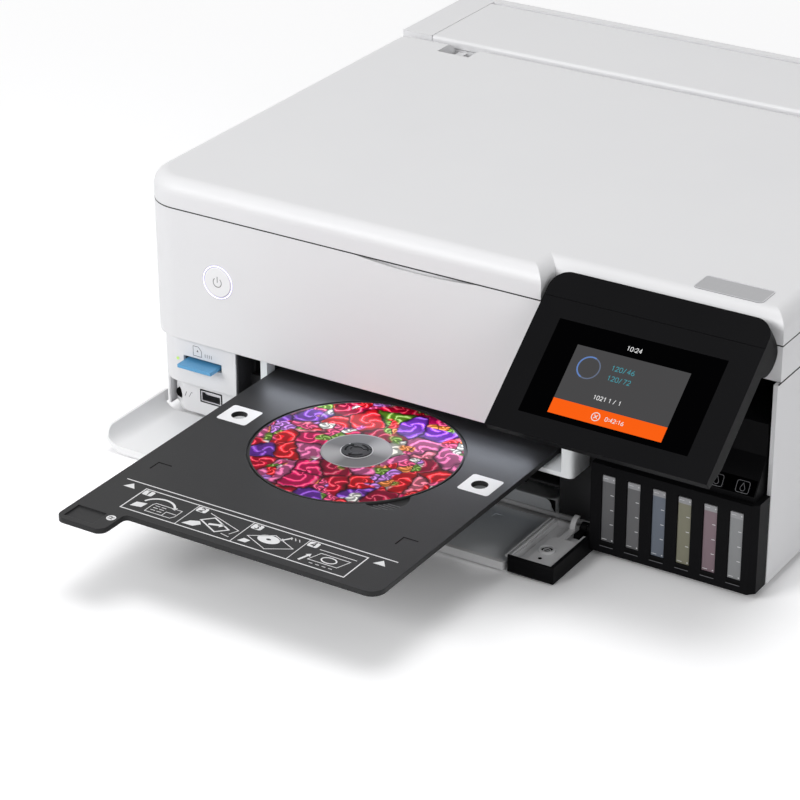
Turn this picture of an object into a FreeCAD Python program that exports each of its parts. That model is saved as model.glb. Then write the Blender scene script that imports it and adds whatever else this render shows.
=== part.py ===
import FreeCAD, Part
import os
import re
from types import SimpleNamespace
import Sketcher
from FreeCAD import Vector

# Disc label printer: an ink-tank photo printer with a slide-in tray for printable discs.
#
# All lengths are millimetres. Each sub-part is drawn in the printer's own working frame: X runs
# from the left side to the right, Y from the front face to the back, Z up from the floor. The
# Placement of every sub-part then moves it so that the origin is the middle of the footprint,
# with the disc tray's finger tab as the foremost point.

DRIVING = {
    # outer casing
    "body_width": 403, "body_depth": 375, "body_height": 162, "wall": 2.5, "seam": 0.4,
    "foot_height": 4.5, "foot_radius": 8, "foot_inset_x": 25, "foot_inset_y": 45, "front_corner": 24,
    "rear_corner": 12, "floor_wall": 2.5, "clearance": 0.3, "running": 0.05,
    # horizontal seams
    "lid_height": 17, "scanner_height": 20.7, "fascia_bottom": 62, "lid_depth": 288.5,
    "lid_round": 10.5, "lid_wall": 2.2, "lid_side_round": 9,
    # front fascia
    "fascia_wall": 3, "fascia_flange": 13, "fascia_wrap": 30, "scoop_left": 147, "scoop_right": 232,
    "scoop_drop": 2.6, "scoop_depth": 2,
    # notch for the control panel
    "notch_left": 268.3, "notch_depth": 16.2,
    # power button
    "button_x": 55, "button_z": 105, "button_radius": 9.2, "button_length": 7, "button_proud": 0.4,
    "ring_width": 1.3, "ring_depth": 3.2,
    # control panel
    "panel_left": 270.8, "panel_width": 130, "panel_length": 96, "panel_top": 161, "panel_thick": 10,
    "panel_foot_thick": 5.4, "panel_foot_rise": 14, "panel_corner": 11, "panel_tilt": 50.6,
    "panel_axis_down": 16, "panel_axis_in": 6.3, "panel_nose": 12.5, "panel_groove_down": 16.3,
    "groove_depth": 0.4, "glass_left": 14.9, "glass_width": 99.2, "glass_bottom": 12,
    "glass_height": 56.6, "glass_thick": 0.8, "slot_inset": 18, "slot_width": 12, "bracket_width": 9,
    "bracket_knuckle": 4.2, "panel_pin": 1.5,
    # scanner unit and document cover hinges
    "hinge_inset": 52, "hinge_y": 278, "hinge_drop": 10.5, "hinge_knuckle": 5.2, "hinge_pin": 2,
    "hinge_pin_length": 40, "ear_width": 6, "hinge_notch": 23, "scanner_back": 277,
    "glass_pane_thick": 2, "pane_left": 34, "pane_front": 36, "pane_length": 300, "pane_depth": 219,
    "pane_frame": 5, "scan_bar_width": 18, "scan_bar_height": 10, "mat_thick": 4,
    # rear paper feed
    "rear_gap": 0.8, "feed_cover_side": 22, "feed_cover_thick": 5.6, "feed_cover_back": 7,
    "feed_hinge_round": 4, "feed_hinge_pin": 1.5, "feed_block": 5, "chute_side": 60, "chute_thick": 2,
    "chute_top_y": 352, "chute_top_z": 150, "chute_foot_y": 303, "chute_foot_z": 60, "rib_thick": 3,
    # card corner
    "card_panel_side": 2.4, "card_panel_front": 6, "card_panel_right": 61.4, "card_panel_bottom": 30,
    "card_corner": 18, "card_wall": 2.2, "card_slot_left": 23.8, "card_slot_width": 27.4,
    "card_slot_bottom": 43.2, "card_slot_height": 5.2, "card_width": 24, "card_thick": 2.1,
    "card_length": 32, "card_out": 9, "card_left": 25.6, "card_bottom": 44.4, "card_bevel": 4,
    "reader_wall": 1, "port_front": 14, "port_bend": 16, "port_round": 10, "port_left": 29.8,
    "port_width": 14.4, "port_bottom": 16.3, "port_height": 6.8, "port_depth": 14, "port_shell": 0.6,
    "dimple_x": 11, "dimple_z": 15, "dimple_radius": 3.4,
    # inner frame and disc guides
    "frame_front": 20, "frame_thick": 3, "bay_left": 64, "bay_right": 271.6, "bay_top": 33,
    "slot_left": 79.8, "slot_bottom": 41, "window_left": 62.4, "window_width": 12, "window_bottom": 40,
    "window_height": 20, "guide_left": 75, "guide_wall": 4.6, "shelf_top": 44.5, "shelf_thick": 2.6,
    "shelf_grip": 3, "guide_right": 283, "guide_post": 7, "guide_round": 3.4, "side_plate": 2,
    "side_plate_back": 222, "side_plate_low": 48, "side_plate_high": 60, "side_plate_step": 106,
    # ink tank unit
    "tank_left": 303.4, "tank_right_gap": 0.3, "tank_front": 3.2, "tank_bottom": 4.6, "tank_top": 58.5,
    "tank_wall": 2.5, "tank_back": 12.3, "tank_chamfer": 3.5, "window_first": 310.1,
    "window_pitch": 15.33, "window_open": 8.2, "window_low": 11.5, "window_high": 53, "tank_count": 6,
    "tank_body": 14, "tank_depth": 92, "tank_nose": 2, "neck_radius": 4, "neck_height": 4, "neck_y": 30,
    "cap_radius": 5.4, "cap_height": 5, "cover_slope_y": 12.8, "cover_slope_z": 80.9, "cover_top": 100,
    "cover_depth": 100, "cover_wall": 2, "cover_lip": 2.6, "cover_pin": 2, "cover_axis_in": 3.5,
    # front flap
    "flap_reach": 43.5, "flap_axis": 9, "flap_bottom": 1, "flap_floor": 2.4, "flap_lip": 5.8,
    "flap_lip_width": 2.8, "flap_right": 272, "flap_side_gap": 0.4, "flap_rise": 15.5, "flap_wing": 1.8,
    "flap_wing_back": 17.7, "flap_tip_round": 8, "flap_barrel": 8, "liner_thick": 1.6,
    "liner_left": 44.5, "end_left": 274.2, "end_right": 302.8, "end_bottom": 0.5, "end_top": 11,
    "end_back": 3.5, "end_wall": 2, "end_floor": 2, "end_tray_left": 272.3, "end_tray_top": 10.2,
    "end_tray_thick": 1.6, "end_tray_back": 8.4, "ridge_width": 0.9, "ridge_height": 1.0,
    "ridge_pitch": 2.2, "pocket_left": 278.1, "plate_left": 284.5, "plate_back": -10, "hole_pitch": 9.4,
    "boss_wall": 1.1, "pocket_depth": 3.4, "boss_x": 289.8, "boss_y": 17.5, "boss_radius": 4.6,
    "boss_height": 1.6, "flap_pin": 2, "flap_ear": 3.4, "flap_ear_width": 4, "flap_lug_x": 47,
    "flap_lug_width": 6, "right_boss": 4.2, "right_boss_left": 297.2, "right_ear_left": 292.4,
    "strap_width": 3.2, "strap_thick": 1.4,
    # trays and cassettes
    "cassette_left": 66, "cassette_right": 270, "cassette_front": 18.5, "cassette_bottom": 7.4,
    "cassette_top": 14.7, "cassette_length": 306, "cassette_wall": 1.6, "cassette_round": 5,
    "photo_left": 92, "photo_right": 246, "photo_front": 27, "photo_bottom": 16, "photo_top": 25,
    "photo_length": 180, "output_front": 26, "output_bottom": 27, "output_thick": 3.6,
    "output_length": 142, "output_rib": 1.2,
    # disc tray and disc
    "disc_tray_left": 80.8, "disc_tray_width": 190.3, "disc_tray_top": 47.8, "disc_tray_thick": 3,
    "front_reach": 189, "disc_tray_front": 168.4, "disc_tray_back": 70, "tab_width": 31.5,
    "tab_round": 5.5, "tray_round": 8, "tab_inner_round": 3, "disc_x": 96.1, "disc_y": 41.9,
    "disc_radius": 60, "disc_gap": 1.4, "disc_thick": 1.2, "disc_bore": 7.5, "hub_radius": 8.6,
    "hub_height": 0.6, "hub_spigot": 7.3, "hub_plug_radius": 5.3, "hub_slot": 1.2, "hole_inset": 15.8,
    "hole_y": 40.4, "hole_radius": 4.6, "finger_radius": 13, "finger_angle": 41, "pad_inset": 3.6,
    "pad_depth": 0.8, "pad_width": 19, "pad_length": 13,
    # printing mechanism
    "platen_front": 122, "platen_depth": 36, "platen_top": 44.2, "platen_thick": 6, "rib_count": 12,
    "rib_height": 1.4, "rib_width": 1.6, "feed_y": 185, "feed_radius": 8, "feed_shaft": 3,
    "feed_left": 70, "feed_right": 296, "eject_y": 98, "eject_radius": 6, "eject_shaft": 2.5,
    "roller_gap": 0.4, "wheel_radius": 5, "wheel_thick": 1.2, "wheel_count": 8, "wheel_lift": 1.4,
    "wheel_bar": 3, "rail_y": 176, "rail_depth": 14, "rail_bottom": 66, "rail_top": 98, "sheet": 2,
    "carriage_left": 318, "carriage_width": 60, "carriage_front": 112, "carriage_bottom": 50.8,
    "carriage_top": 96, "head_drop": 1.4, "head_inset": 9, "head_depth": 30, "arm_thick": 2,
    "arm_tab": 0.7, "pulley_radius": 6, "pulley_height": 6, "pulley_z": 84, "pulley_y": 198.6,
    "pulley_left": 70, "pulley_right": 384, "belt_thick": 1.2, "belt_gap": 0.3, "motor_radius": 8,
    "motor_height": 32, "motor_shaft": 1.5, "bracket_plate": 1.5, "cap_station_front": 118,
    "cap_station_depth": 42, "cap_station_height": 40, "waste_left": 310, "waste_width": 84,
    "waste_front": 225, "waste_depth": 58, "waste_height": 42, "board_thick": 1.6, "board_front": 60,
    "board_depth": 108, "board_bottom": 20, "board_height": 80, "standoff": 4, "chip_size": 18,
    "chip_thick": 2.6, "supply_left": 10, "supply_width": 44, "supply_front": 230, "supply_depth": 105,
    "supply_height": 42, "damper_wall": 2, "damper_pitch": 9.6, "damper_inset": 8, "damper_deep": 14,
    "arm_width": 12, "arm_foot": 10, "carriage_round": 3, "shaft_out": 0.5, "wheel_end": 12,
    "standoff_radius": 2.5, "button_round": 0.6, "mat_left": 30, "mat_front": 32, "mat_length": 312,
    "mat_depth": 227,
    # back panel
    "inlet_x": 352, "inlet_width": 27, "inlet_z": 16, "inlet_height": 20, "inlet_depth": 18,
    "inlet_wall": 2.2, "inlet_pin": 1.2, "inlet_pin_pitch": 8.6, "ports_x": 34, "ports_z": 60,
    "usb_size": 12, "lan_width": 16, "lan_height": 13.4, "ports_pitch": 24, "ports_depth": 14,
    "ports_wall": 1.2,
    # small fitting distances
    "overlap": 0.1, "slack": 0.2, "lug_gap": 0.4, "flap_back_gap": 0.6, "cover_side_gap": 1.6,
    "strap_lift": 1.6, "strap_gap": 0.8, "cover_pin_reach": 4, "cover_pin_length": 3, "guide_reach": 8,
    "cheek_back": 0.8, "liner_mark_in": 32, "finger_in": 4, "runner_height": 2.4, "grip_out": 12,
    "paper_guide_in": 60, "nose_short": 1.2, "arm_step": 0.6, "cap_grip_out": 3, "scan_end": 2,
}

document = FreeCAD.newDocument("DiscLabelPrinter")
sheet = document.addObject("Spreadsheet::Sheet", "Sizes")
for row, (word, number) in enumerate(DRIVING.items(), start=1):
    sheet.set(f"A{row}", word)
    sheet.set(f"B{row}", str(number))
    sheet.setAlias(f"B{row}", word)
document.recompute()
size = SimpleNamespace(**{word: float(sheet.get(word)) for word in DRIVING})

WORDS = re.compile(r"\b(" + "|".join(sorted(DRIVING, key=len, reverse=True)) + r")\b")
ORIGIN_X = "-body_width / 2"
ORIGIN_Y = "(front_reach - body_depth) / 2"
nodes = {}


# ---------------------------------------------------------------- helpers

def bind(item, field, formula):
    """Tie one property to a formula in the words of the sheet."""
    text = WORDS.sub(r"Sizes.\1", str(formula))
    item.setExpression(field, text)


def place(item, x, y, z):
    for field, formula in (("x", x), ("y", y), ("z", z)):
        bind(item, f"Placement.Base.{field}", formula)


def box(name, x, y, z, length, width, height):
    item = document.addObject("Part::Box", name)
    bind(item, "Length", length)
    bind(item, "Width", width)
    bind(item, "Height", height)
    place(item, x, y, z)
    return item


TURN = {
    "x": FreeCAD.Rotation(Vector(0, 1, 0), 90),
    "y": FreeCAD.Rotation(Vector(1, 0, 0), -90),
    "z": FreeCAD.Rotation(),
}


def cylinder(name, axis, x, y, z, radius, length):
    """A cylinder that starts at x, y, z and runs along the positive axis."""
    item = document.addObject("Part::Cylinder", name)
    item.Placement = FreeCAD.Placement(Vector(), TURN[axis])
    bind(item, "Radius", radius)
    bind(item, "Height", length)
    place(item, x, y, z)
    return item


def tube(name, axis, x, y, z, outer, inner, length):
    return cut(name, cylinder(name + "_outer", axis, x, y, z, outer, length),
               cylinder(name + "_bore", axis, x, y, z, inner, length))


def cut(name, base, *tools):
    """The base with each tool cut away in turn; the last step carries the name."""
    for index, tool in enumerate(tools, start=1):
        item = document.addObject("Part::Cut", name if index == len(tools) else f"{name}_{index}")
        item.Base = base
        item.Tool = tool
        base = item
    return base


def fuse(name, *parts):
    item = document.addObject("Part::MultiFuse", name)
    item.Shapes = list(parts)
    item.Refine = True
    return item


def common(name, base, tool):
    item = document.addObject("Part::Common", name)
    item.Base = base
    item.Tool = tool
    return item


PLANES = {"xy": "XY_Plane", "xz": "XZ_Plane", "yz": "YZ_Plane"}


def prism(name, plane, points, start, length):
    """A pad of a closed outline. Each point is a pair of formulas in the plane's own two axes.

    The pad runs from start to start + length along the third axis (X for yz, Y for xz, Z for xy).
    """
    body = document.addObject("PartDesign::Body", name)
    sketch = body.newObject("Sketcher::SketchObject", name + "_outline")
    origin = [item for item in body.Origin.OriginFeatures if item.Role == PLANES[plane]][0]
    sketch.AttachmentSupport = (origin, [""])
    sketch.MapMode = "FlatFace"
    side = -1 if plane == "xz" else 1
    bind(sketch, "AttachmentOffset.Base.z", f"{side} * ({start})")
    corners = [Vector(number(u), number(v), 0) for u, v in points]
    count = len(corners)
    for index, corner in enumerate(corners):
        sketch.addGeometry(Part.LineSegment(corner, corners[(index + 1) % count]), False)
    for index in range(count):
        sketch.addConstraint(Sketcher.Constraint("Coincident", index, 2, (index + 1) % count, 1))
    for index, (u, v) in enumerate(points):
        for kind, formula, value in (("DistanceX", u, corners[index].x), ("DistanceY", v, corners[index].y)):
            spot = sketch.addConstraint(Sketcher.Constraint(kind, -1, 1, index, 1, value))
            bind(sketch, f"Constraints[{spot}]", formula)
    pad = body.newObject("PartDesign::Pad", name + "_pad")
    pad.Profile = sketch
    pad.Reversed = plane == "xz"
    bind(pad, "Length", length)
    body.Tip = pad
    document.recompute()
    return body


def number(formula):
    """The present value of a formula in the words of the sheet."""
    scratch = document.getObject("Scratch") or document.addObject("App::FeaturePython", "Scratch")
    if "value" not in scratch.PropertiesList:
        scratch.addProperty("App::PropertyFloat", "value")
    bind(scratch, "value", f"({formula}) * 1")
    scratch.recompute()
    return scratch.value


def edges_where(shape, test):
    """Numbers of the edges whose end points, given as a list, pass the test."""
    found = []
    for index, edge in enumerate(shape.Edges, start=1):
        ends = [vertex.Point for vertex in edge.Vertexes]
        if ends and test(ends):
            found.append(index)
    return found


def near(one, other):
    return abs(one - other) < 0.02


def rounded(name, base, radius, test):
    """Round the edges of base whose ends pass the test, by a radius named in the sheet."""
    document.recompute()
    picked = edges_where(base.Shape, test)
    if base.TypeId == "PartDesign::Body":
        before = base.Tip
        step = base.newObject("PartDesign::Fillet", name)
        step.Base = (before, [f"Edge{index}" for index in picked])
        bind(step, "Radius", radius)
        base.Tip = step
        document.recompute()
        return base
    item = document.addObject("Part::Fillet", name)
    item.Base = base
    value = number(radius)
    item.Edges = [(index, value, value) for index in picked]
    document.recompute()
    return item


def every(test):
    """Edge test: every end point passes the given point test."""
    return lambda ends: all(test(point) for point in ends)


def upright(*spots):
    """Edge test for vertical edges that stand at the given x, y spots."""
    return lambda ends: any(all(near(point.x, x) and near(point.y, y) for point in ends)
                            for x, y in spots)


def part(name, *items):
    """A named sub-part in the printer's place: the given solids under one Label and Placement."""
    item = document.addObject("Part::Compound", name)
    item.Label = name
    item.Links = list(items)
    place(item, ORIGIN_X, ORIGIN_Y, 0)
    nodes[name] = item
    return item


# ---------------------------------------------------------------- shared heights and places

LID_BOTTOM = "(body_height - lid_height)"
SCANNER_TOP = "(body_height - lid_height - seam)"
SCANNER_BOTTOM = "(body_height - lid_height - seam - scanner_height)"
BASE_TOP = "(body_height - lid_height - scanner_height - 2 * seam)"
FLOOR_TOP = "(foot_height + floor_wall)"
HINGE_Z = "(body_height - hinge_drop)"
REAR_FRONT = "(lid_depth + rear_gap)"
FRAME_BACK = "(frame_front + frame_thick)"
TRAY_BOTTOM = "(disc_tray_top - disc_tray_thick)"
FEED_Z = "(disc_tray_top - disc_tray_thick - roller_gap - feed_radius)"
EJECT_Z = "(disc_tray_top - disc_tray_thick - roller_gap - eject_radius)"
PLATE_RIGHT = "(tank_left - clearance)"
PLATE_LEFT = "(bay_left - side_plate - clearance)"


# ---------------------------------------------------------------- casing

def rear_inner_corners():
    back = size.body_depth - size.wall
    return upright((size.wall, back), (size.body_width - size.wall, back))


def base_housing():
    """Lower shell: floor, side walls and back wall, open at the top and at the front."""
    outline = [
        ("0", "fascia_wrap + seam"), ("card_panel_right", "fascia_wrap + seam"),
        ("card_panel_right", "cassette_front"), ("tank_left - clearance", "cassette_front"),
        ("tank_left - clearance", "tank_back + seam"), ("body_width", "tank_back + seam"),
        ("body_width", "body_depth"), ("0", "body_depth"),
    ]
    shell = prism("base_shell", "xy", outline, "foot_height", f"{BASE_TOP} - foot_height")
    shell = rounded("base_rear_corners", shell, "rear_corner",
                    upright((0, size.body_depth), (size.body_width, size.body_depth)))
    hollow = box("base_hollow", "wall", "-1", FLOOR_TOP, "body_width - 2 * wall",
                 "body_depth - wall + 1", "body_height")
    hollow = rounded("base_hollow_corners", hollow, "rear_corner - wall", rear_inner_corners())
    inlet = box("base_inlet_hole", "inlet_x", "body_depth - 2 * wall", "inlet_z", "inlet_width",
                "3 * wall", "inlet_height")
    ports = [box(f"base_{name}_hole", x, "body_depth - 2 * wall", "ports_z", width, "3 * wall", "lan_height")
             for name, x, width in (("usb", "ports_x", "usb_size"),
                                    ("lan", "ports_x + ports_pitch", "lan_width"))]
    pin_z = "cover_top - cover_axis_in"
    pin_hole = cylinder("base_cover_pin_hole", "x", "body_width - wall - 1",
                        "cover_depth - cover_axis_in", pin_z, "cover_pin + running", "2.5")
    part("base_housing", cut("base_body", shell, hollow, inlet, *ports, pin_hole))


def rear_housing():
    """Upper rear shell round the rear paper feed, with the clevis ears of the scanner hinge."""
    height = f"body_height - {BASE_TOP}"
    block = box("rear_block", "0", REAR_FRONT, BASE_TOP, "body_width", f"body_depth - {REAR_FRONT}",
                height)
    block = rounded("rear_corners", block, "rear_corner",
                    upright((0, size.body_depth), (size.body_width, size.body_depth)))
    inside = box("rear_inside", "wall", f"{REAR_FRONT} + wall", f"{BASE_TOP} - 1",
                 "body_width - 2 * wall", f"body_depth - {REAR_FRONT} - 2 * wall",
                 f"{height} - wall + 1")
    inside = rounded("rear_inside_corners", inside, "rear_corner - wall", rear_inner_corners())
    mouth = box("rear_mouth", "feed_cover_side", f"{REAR_FRONT} - 1",
                "body_height - feed_cover_thick - seam",
                "body_width - 2 * feed_cover_side",
                f"body_depth - feed_cover_back + seam - {REAR_FRONT} + 1", "feed_cover_thick + 2")
    throat = box("rear_throat", "feed_cover_side + wall", f"{REAR_FRONT} + wall", f"{BASE_TOP} - 1",
                 "body_width - 2 * feed_cover_side - 2 * wall",
                 f"body_depth - feed_cover_back + seam - {REAR_FRONT} - wall", f"{height} + 2")
    pin_y = "body_depth - feed_cover_back - feed_hinge_round"
    pin_z = "body_height - feed_hinge_round"
    pin_holes = cylinder("rear_cover_pin_hole", "x", "feed_cover_side - cover_pin_reach", pin_y, pin_z,
                         "feed_hinge_pin + running", "body_width - 2 * feed_cover_side + 2 * cover_pin_reach")
    ears = []
    for side, centre in (("left", "hinge_inset"), ("right", "body_width - hinge_inset")):
        for mark, start in (("a", f"{centre} - 1.5 * ear_width - seam"),
                            ("b", f"{centre} + ear_width / 2 + seam")):
            name = f"ear_{side}_{mark}"
            eye = cylinder(name + "_eye", "x", start, "hinge_y", HINGE_Z, "hinge_knuckle", "ear_width")
            arm = box(name + "_arm", start, "hinge_y", f"{HINGE_Z} - hinge_knuckle", "ear_width",
                      f"{REAR_FRONT} - hinge_y + 0.5", "hinge_knuckle * 1.6")
            hole = cylinder(name + "_hole", "x", f"{start} - 1", "hinge_y", HINGE_Z,
                            "hinge_pin + running", "ear_width + 2")
            ears.append(cut(name, fuse(name + "_solid", eye, arm), hole))
    shell = cut("rear_shell", block, inside, mouth, throat)
    blocks = [box(f"rear_hinge_block_{index}", x, f"{pin_y} - feed_hinge_round",
                  f"{pin_z} - feed_hinge_round",
                  "feed_block", "2 * feed_hinge_round", "2 * feed_hinge_round - 1")
              for index, x in enumerate(("feed_cover_side - feed_block", "body_width - feed_cover_side"))]
    shell = cut("rear_shell_bored", fuse("rear_shell_solid", shell, *blocks), pin_holes)
    part("rear_housing", fuse("rear_body", shell, *ears))


def rear_feed_cover():
    """Lid over the rear paper feed, with a rolled back edge and a pin at each end."""
    bottom = "body_height - feed_cover_thick"
    back = "(body_depth - feed_cover_back)"
    plate = box("feed_cover_plate", "feed_cover_side + seam", REAR_FRONT, bottom,
                "body_width - 2 * feed_cover_side - 2 * seam",
                f"{back} - feed_hinge_round - {REAR_FRONT}", "feed_cover_thick")
    plate = rounded("feed_cover_front_edge", plate, "2",
                    every(lambda p: near(p.y, size.lid_depth + size.rear_gap) and near(p.z,
                                                                                       size.body_height)))
    roll = cylinder("feed_cover_roll", "x", "feed_cover_side + seam", f"{back} - feed_hinge_round",
                    "body_height - feed_hinge_round", "feed_hinge_round",
                    "body_width - 2 * feed_cover_side - 2 * seam")
    pins = cylinder("feed_cover_pins", "x", "feed_cover_side - cover_pin_length",
                    f"{back} - feed_hinge_round",
                    "body_height - feed_hinge_round", "feed_hinge_pin",
                    "body_width - 2 * feed_cover_side + 2 * cover_pin_length")
    part("rear_feed_cover", fuse("feed_cover_body", plate, roll, pins))


def rear_feed_chute():
    """Sloping plate that guides paper down to the feed roller, on a rib at each end."""
    slope = [
        ("chute_top_y", "chute_top_z"), ("chute_top_y + chute_thick", "chute_top_z"),
        ("chute_foot_y + chute_thick", "chute_foot_z"), ("chute_foot_y", "chute_foot_z"),
    ]
    plate = prism("chute_plate", "yz", slope, "chute_side", "body_width - 2 * chute_side")
    brace = [
        ("chute_top_y + chute_thick", "chute_top_z"), ("chute_top_y + 4 * chute_thick", "chute_top_z"),
        ("chute_top_y + 4 * chute_thick", FLOOR_TOP), ("chute_foot_y + chute_thick", FLOOR_TOP),
        ("chute_foot_y + chute_thick", "chute_foot_z"),
    ]
    ribs = [prism(f"chute_rib_{index}", "yz", brace, start, "rib_thick")
            for index, start in enumerate(("chute_side", "body_width - chute_side - rib_thick"))]
    part("rear_feed_chute", fuse("chute_body", plate, *ribs))


def rubber_feet():
    feet = []
    for index, (x, y) in enumerate((
            ("foot_inset_x", "foot_inset_y"), ("body_width - foot_inset_x", "foot_inset_y"),
            ("foot_inset_x", "body_depth - foot_inset_x"),
            ("body_width - foot_inset_x", "body_depth - foot_inset_x"))):
        feet.append(cylinder(f"foot_{index}", "z", x, y, "0", "foot_radius", "foot_height"))
    part("rubber_feet", *feet)


def power_inlet():
    block = box("inlet_block", "inlet_x", "body_depth - inlet_depth", "inlet_z", "inlet_width",
                "inlet_depth", "inlet_height")
    well = box("inlet_well", "inlet_x + inlet_wall", "body_depth - inlet_depth + inlet_wall",
               "inlet_z + inlet_wall", "inlet_width - 2 * inlet_wall", "inlet_depth",
               "inlet_height - 2 * inlet_wall")
    pins = [cylinder(f"inlet_pin_{index}", "y",
                     f"inlet_x + inlet_width / 2 + {side} * inlet_pin_pitch / 2",
                     "body_depth - inlet_depth + inlet_wall / 2",
                     "inlet_z + inlet_height / 2", "inlet_pin", "inlet_depth - 2 * inlet_wall")
            for index, side in enumerate((-1, 1))]
    part("power_inlet", fuse("inlet_body", cut("inlet_shell", block, well), *pins))


def data_ports():
    """Square printer socket and network socket side by side."""
    sockets = []
    for name, x, width in (("usb_b", "ports_x", "usb_size"), ("lan", "ports_x + ports_pitch", "lan_width")):
        block = box(name + "_block", x, "body_depth - ports_depth", "ports_z", width, "ports_depth",
                    "lan_height")
        well = box(name + "_well", f"{x} + ports_wall", "body_depth - ports_depth + ports_wall",
                   "ports_z + ports_wall", f"{width} - 2 * ports_wall", "ports_depth",
                   "lan_height - 2 * ports_wall")
        tongue = box(name + "_tongue", f"{x} + {width} / 4", "body_depth - ports_depth + ports_wall / 2",
                     "ports_z + lan_height / 2 - ports_wall", f"{width} / 2", "ports_depth * 0.7",
                     "2 * ports_wall")
        sockets.append(fuse(name, cut(name + "_shell", block, well), tongue))
    part("data_ports", *sockets)


# ---------------------------------------------------------------- card corner

def card_panel():
    """White corner piece with the card slot; its outer corner follows the casing's."""
    front, left, right = "card_panel_front", "card_panel_side", "card_panel_right"
    outline = [(right, front), (left, front), (left, "fascia_wrap"), (right, "fascia_wrap")]
    height = "fascia_bottom - seam - card_panel_bottom"
    outer = prism("card_outer", "xy", outline, "card_panel_bottom", height)
    outer = rounded("card_corner_round", outer, "card_corner",
                    upright((size.card_panel_side, size.card_panel_front)))
    inset = [(f"{right} + 1", f"{front} + card_wall"), (f"{left} + card_wall", f"{front} + card_wall"),
             (f"{left} + card_wall", "fascia_wrap + 1"), (f"{right} + 1", "fascia_wrap + 1")]
    inner = prism("card_inner", "xy", inset, "card_panel_bottom + card_wall", "fascia_bottom")
    inner = rounded("card_inner_round", inner, "card_corner - card_wall",
                    upright((size.card_panel_side + size.card_wall,
                             size.card_panel_front + size.card_wall)))
    slot = box("card_slot", "card_slot_left", f"{front} - 1", "card_slot_bottom", "card_slot_width",
               "card_wall + 2", "card_slot_height")
    part("card_panel", cut("card_body", outer, inner, slot))


def card_reader():
    """Metal sleeve behind the slot, on a foot that reaches down to the port panel's lid."""
    x, z = "card_slot_left", "card_slot_bottom"
    start = "card_panel_front + card_wall"
    length = "card_length"
    sleeve = box("reader_sleeve", x, start, z, "card_slot_width", length, "card_slot_height")
    inside = box("reader_inside", f"{x} + reader_wall", f"{start} - 1", f"{z} + reader_wall",
                 "card_slot_width - 2 * reader_wall", f"{length} + 1 - reader_wall",
                 "card_slot_height - 2 * reader_wall")
    foot = box("reader_foot", f"{x} + 4", f"{start} + 4", "card_panel_bottom + card_wall",
               "card_slot_width - 8", "12", f"{z} - card_panel_bottom - card_wall")
    part("card_reader", fuse("reader_body", cut("reader_shell", sleeve, inside), foot))


def memory_card():
    """Card with one bevelled corner, held in the reader with its tail standing out."""
    tail = "(card_panel_front - card_out)"
    head = f"({tail} + card_length)"
    outline = [
        ("card_left", tail), ("card_left + card_width", tail), ("card_left + card_width", head),
        ("card_left + card_bevel", head), ("card_left", f"{head} - card_bevel"),
    ]
    part("memory_card", prism("card_plate", "xy", outline, "card_bottom", "card_thick"))


def port_panel():
    """Recessed lower corner with the socket opening, and the lug of the flap's left hinge."""
    left = "card_panel_side"
    outline = [("card_panel_right - slack", "port_front"), ("port_bend", "port_front"),
               (f"{left} + 2", "port_front + port_round"), (f"{left} + 2", "fascia_wrap"),
               ("card_panel_right - slack", "fascia_wrap")]
    height = f"card_panel_bottom - {FLOOR_TOP}"
    block = prism("port_block", "xy", outline, FLOOR_TOP, height)
    block = rounded("port_bend_round", block, "port_round", upright((size.port_bend, size.port_front)))
    hollow = box("port_hollow", f"{left} + 2 + card_wall", "port_front + port_round + 1",
                 f"{FLOOR_TOP} + card_wall", "card_panel_right", "port_round + 10",
                 f"{height} - 2 * card_wall")
    socket = box("port_opening", "port_left", "port_front - 1", "port_bottom", "port_width",
                 "port_round + 5", "port_height")
    dimple = cylinder("port_dimple", "y", "dimple_x", "port_front - 1", "dimple_z", "dimple_radius",
                      "port_round - 2")
    eye = cylinder("port_lug_eye", "x", "flap_lug_x", "flap_axis", "flap_axis", "flap_ear", "flap_lug_width")
    arm = box("port_lug_arm", "flap_lug_x", "flap_axis", "flap_axis - flap_ear + arm_step", "flap_lug_width",
              "port_front - flap_axis + 0.5", "2 * flap_ear - arm_step")
    hole = cylinder("port_lug_hole", "x", "flap_lug_x - 1", "flap_axis", "flap_axis",
                    "flap_pin + running", "flap_lug_width + 2")
    lug = cut("port_lug", fuse("port_lug_solid", eye, arm), hole)
    part("port_panel", fuse("port_body", cut("port_shell", block, hollow, socket, dimple), lug))


def usb_port():
    """Metal socket with its tongue, set in the port panel's opening."""
    x, z = "port_left", "port_bottom"
    shell = box("usb_shell", x, "port_front + slack", z, "port_width", "port_depth", "port_height")
    inside = box("usb_inside", f"{x} + port_shell", "port_front", f"{z} + port_shell",
                 "port_width - 2 * port_shell", "port_depth - port_shell",
                 "port_height - 2 * port_shell")
    tongue = box("usb_tongue", f"{x} + 1.6", "port_front + 2", f"{z} + port_height * 0.56",
                 "port_width - 3.2", "port_depth - 2.2", "1.8")
    part("usb_port", fuse("usb_body", cut("usb_case", shell, inside), tongue))


# ---------------------------------------------------------------- front frame and guides

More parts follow.
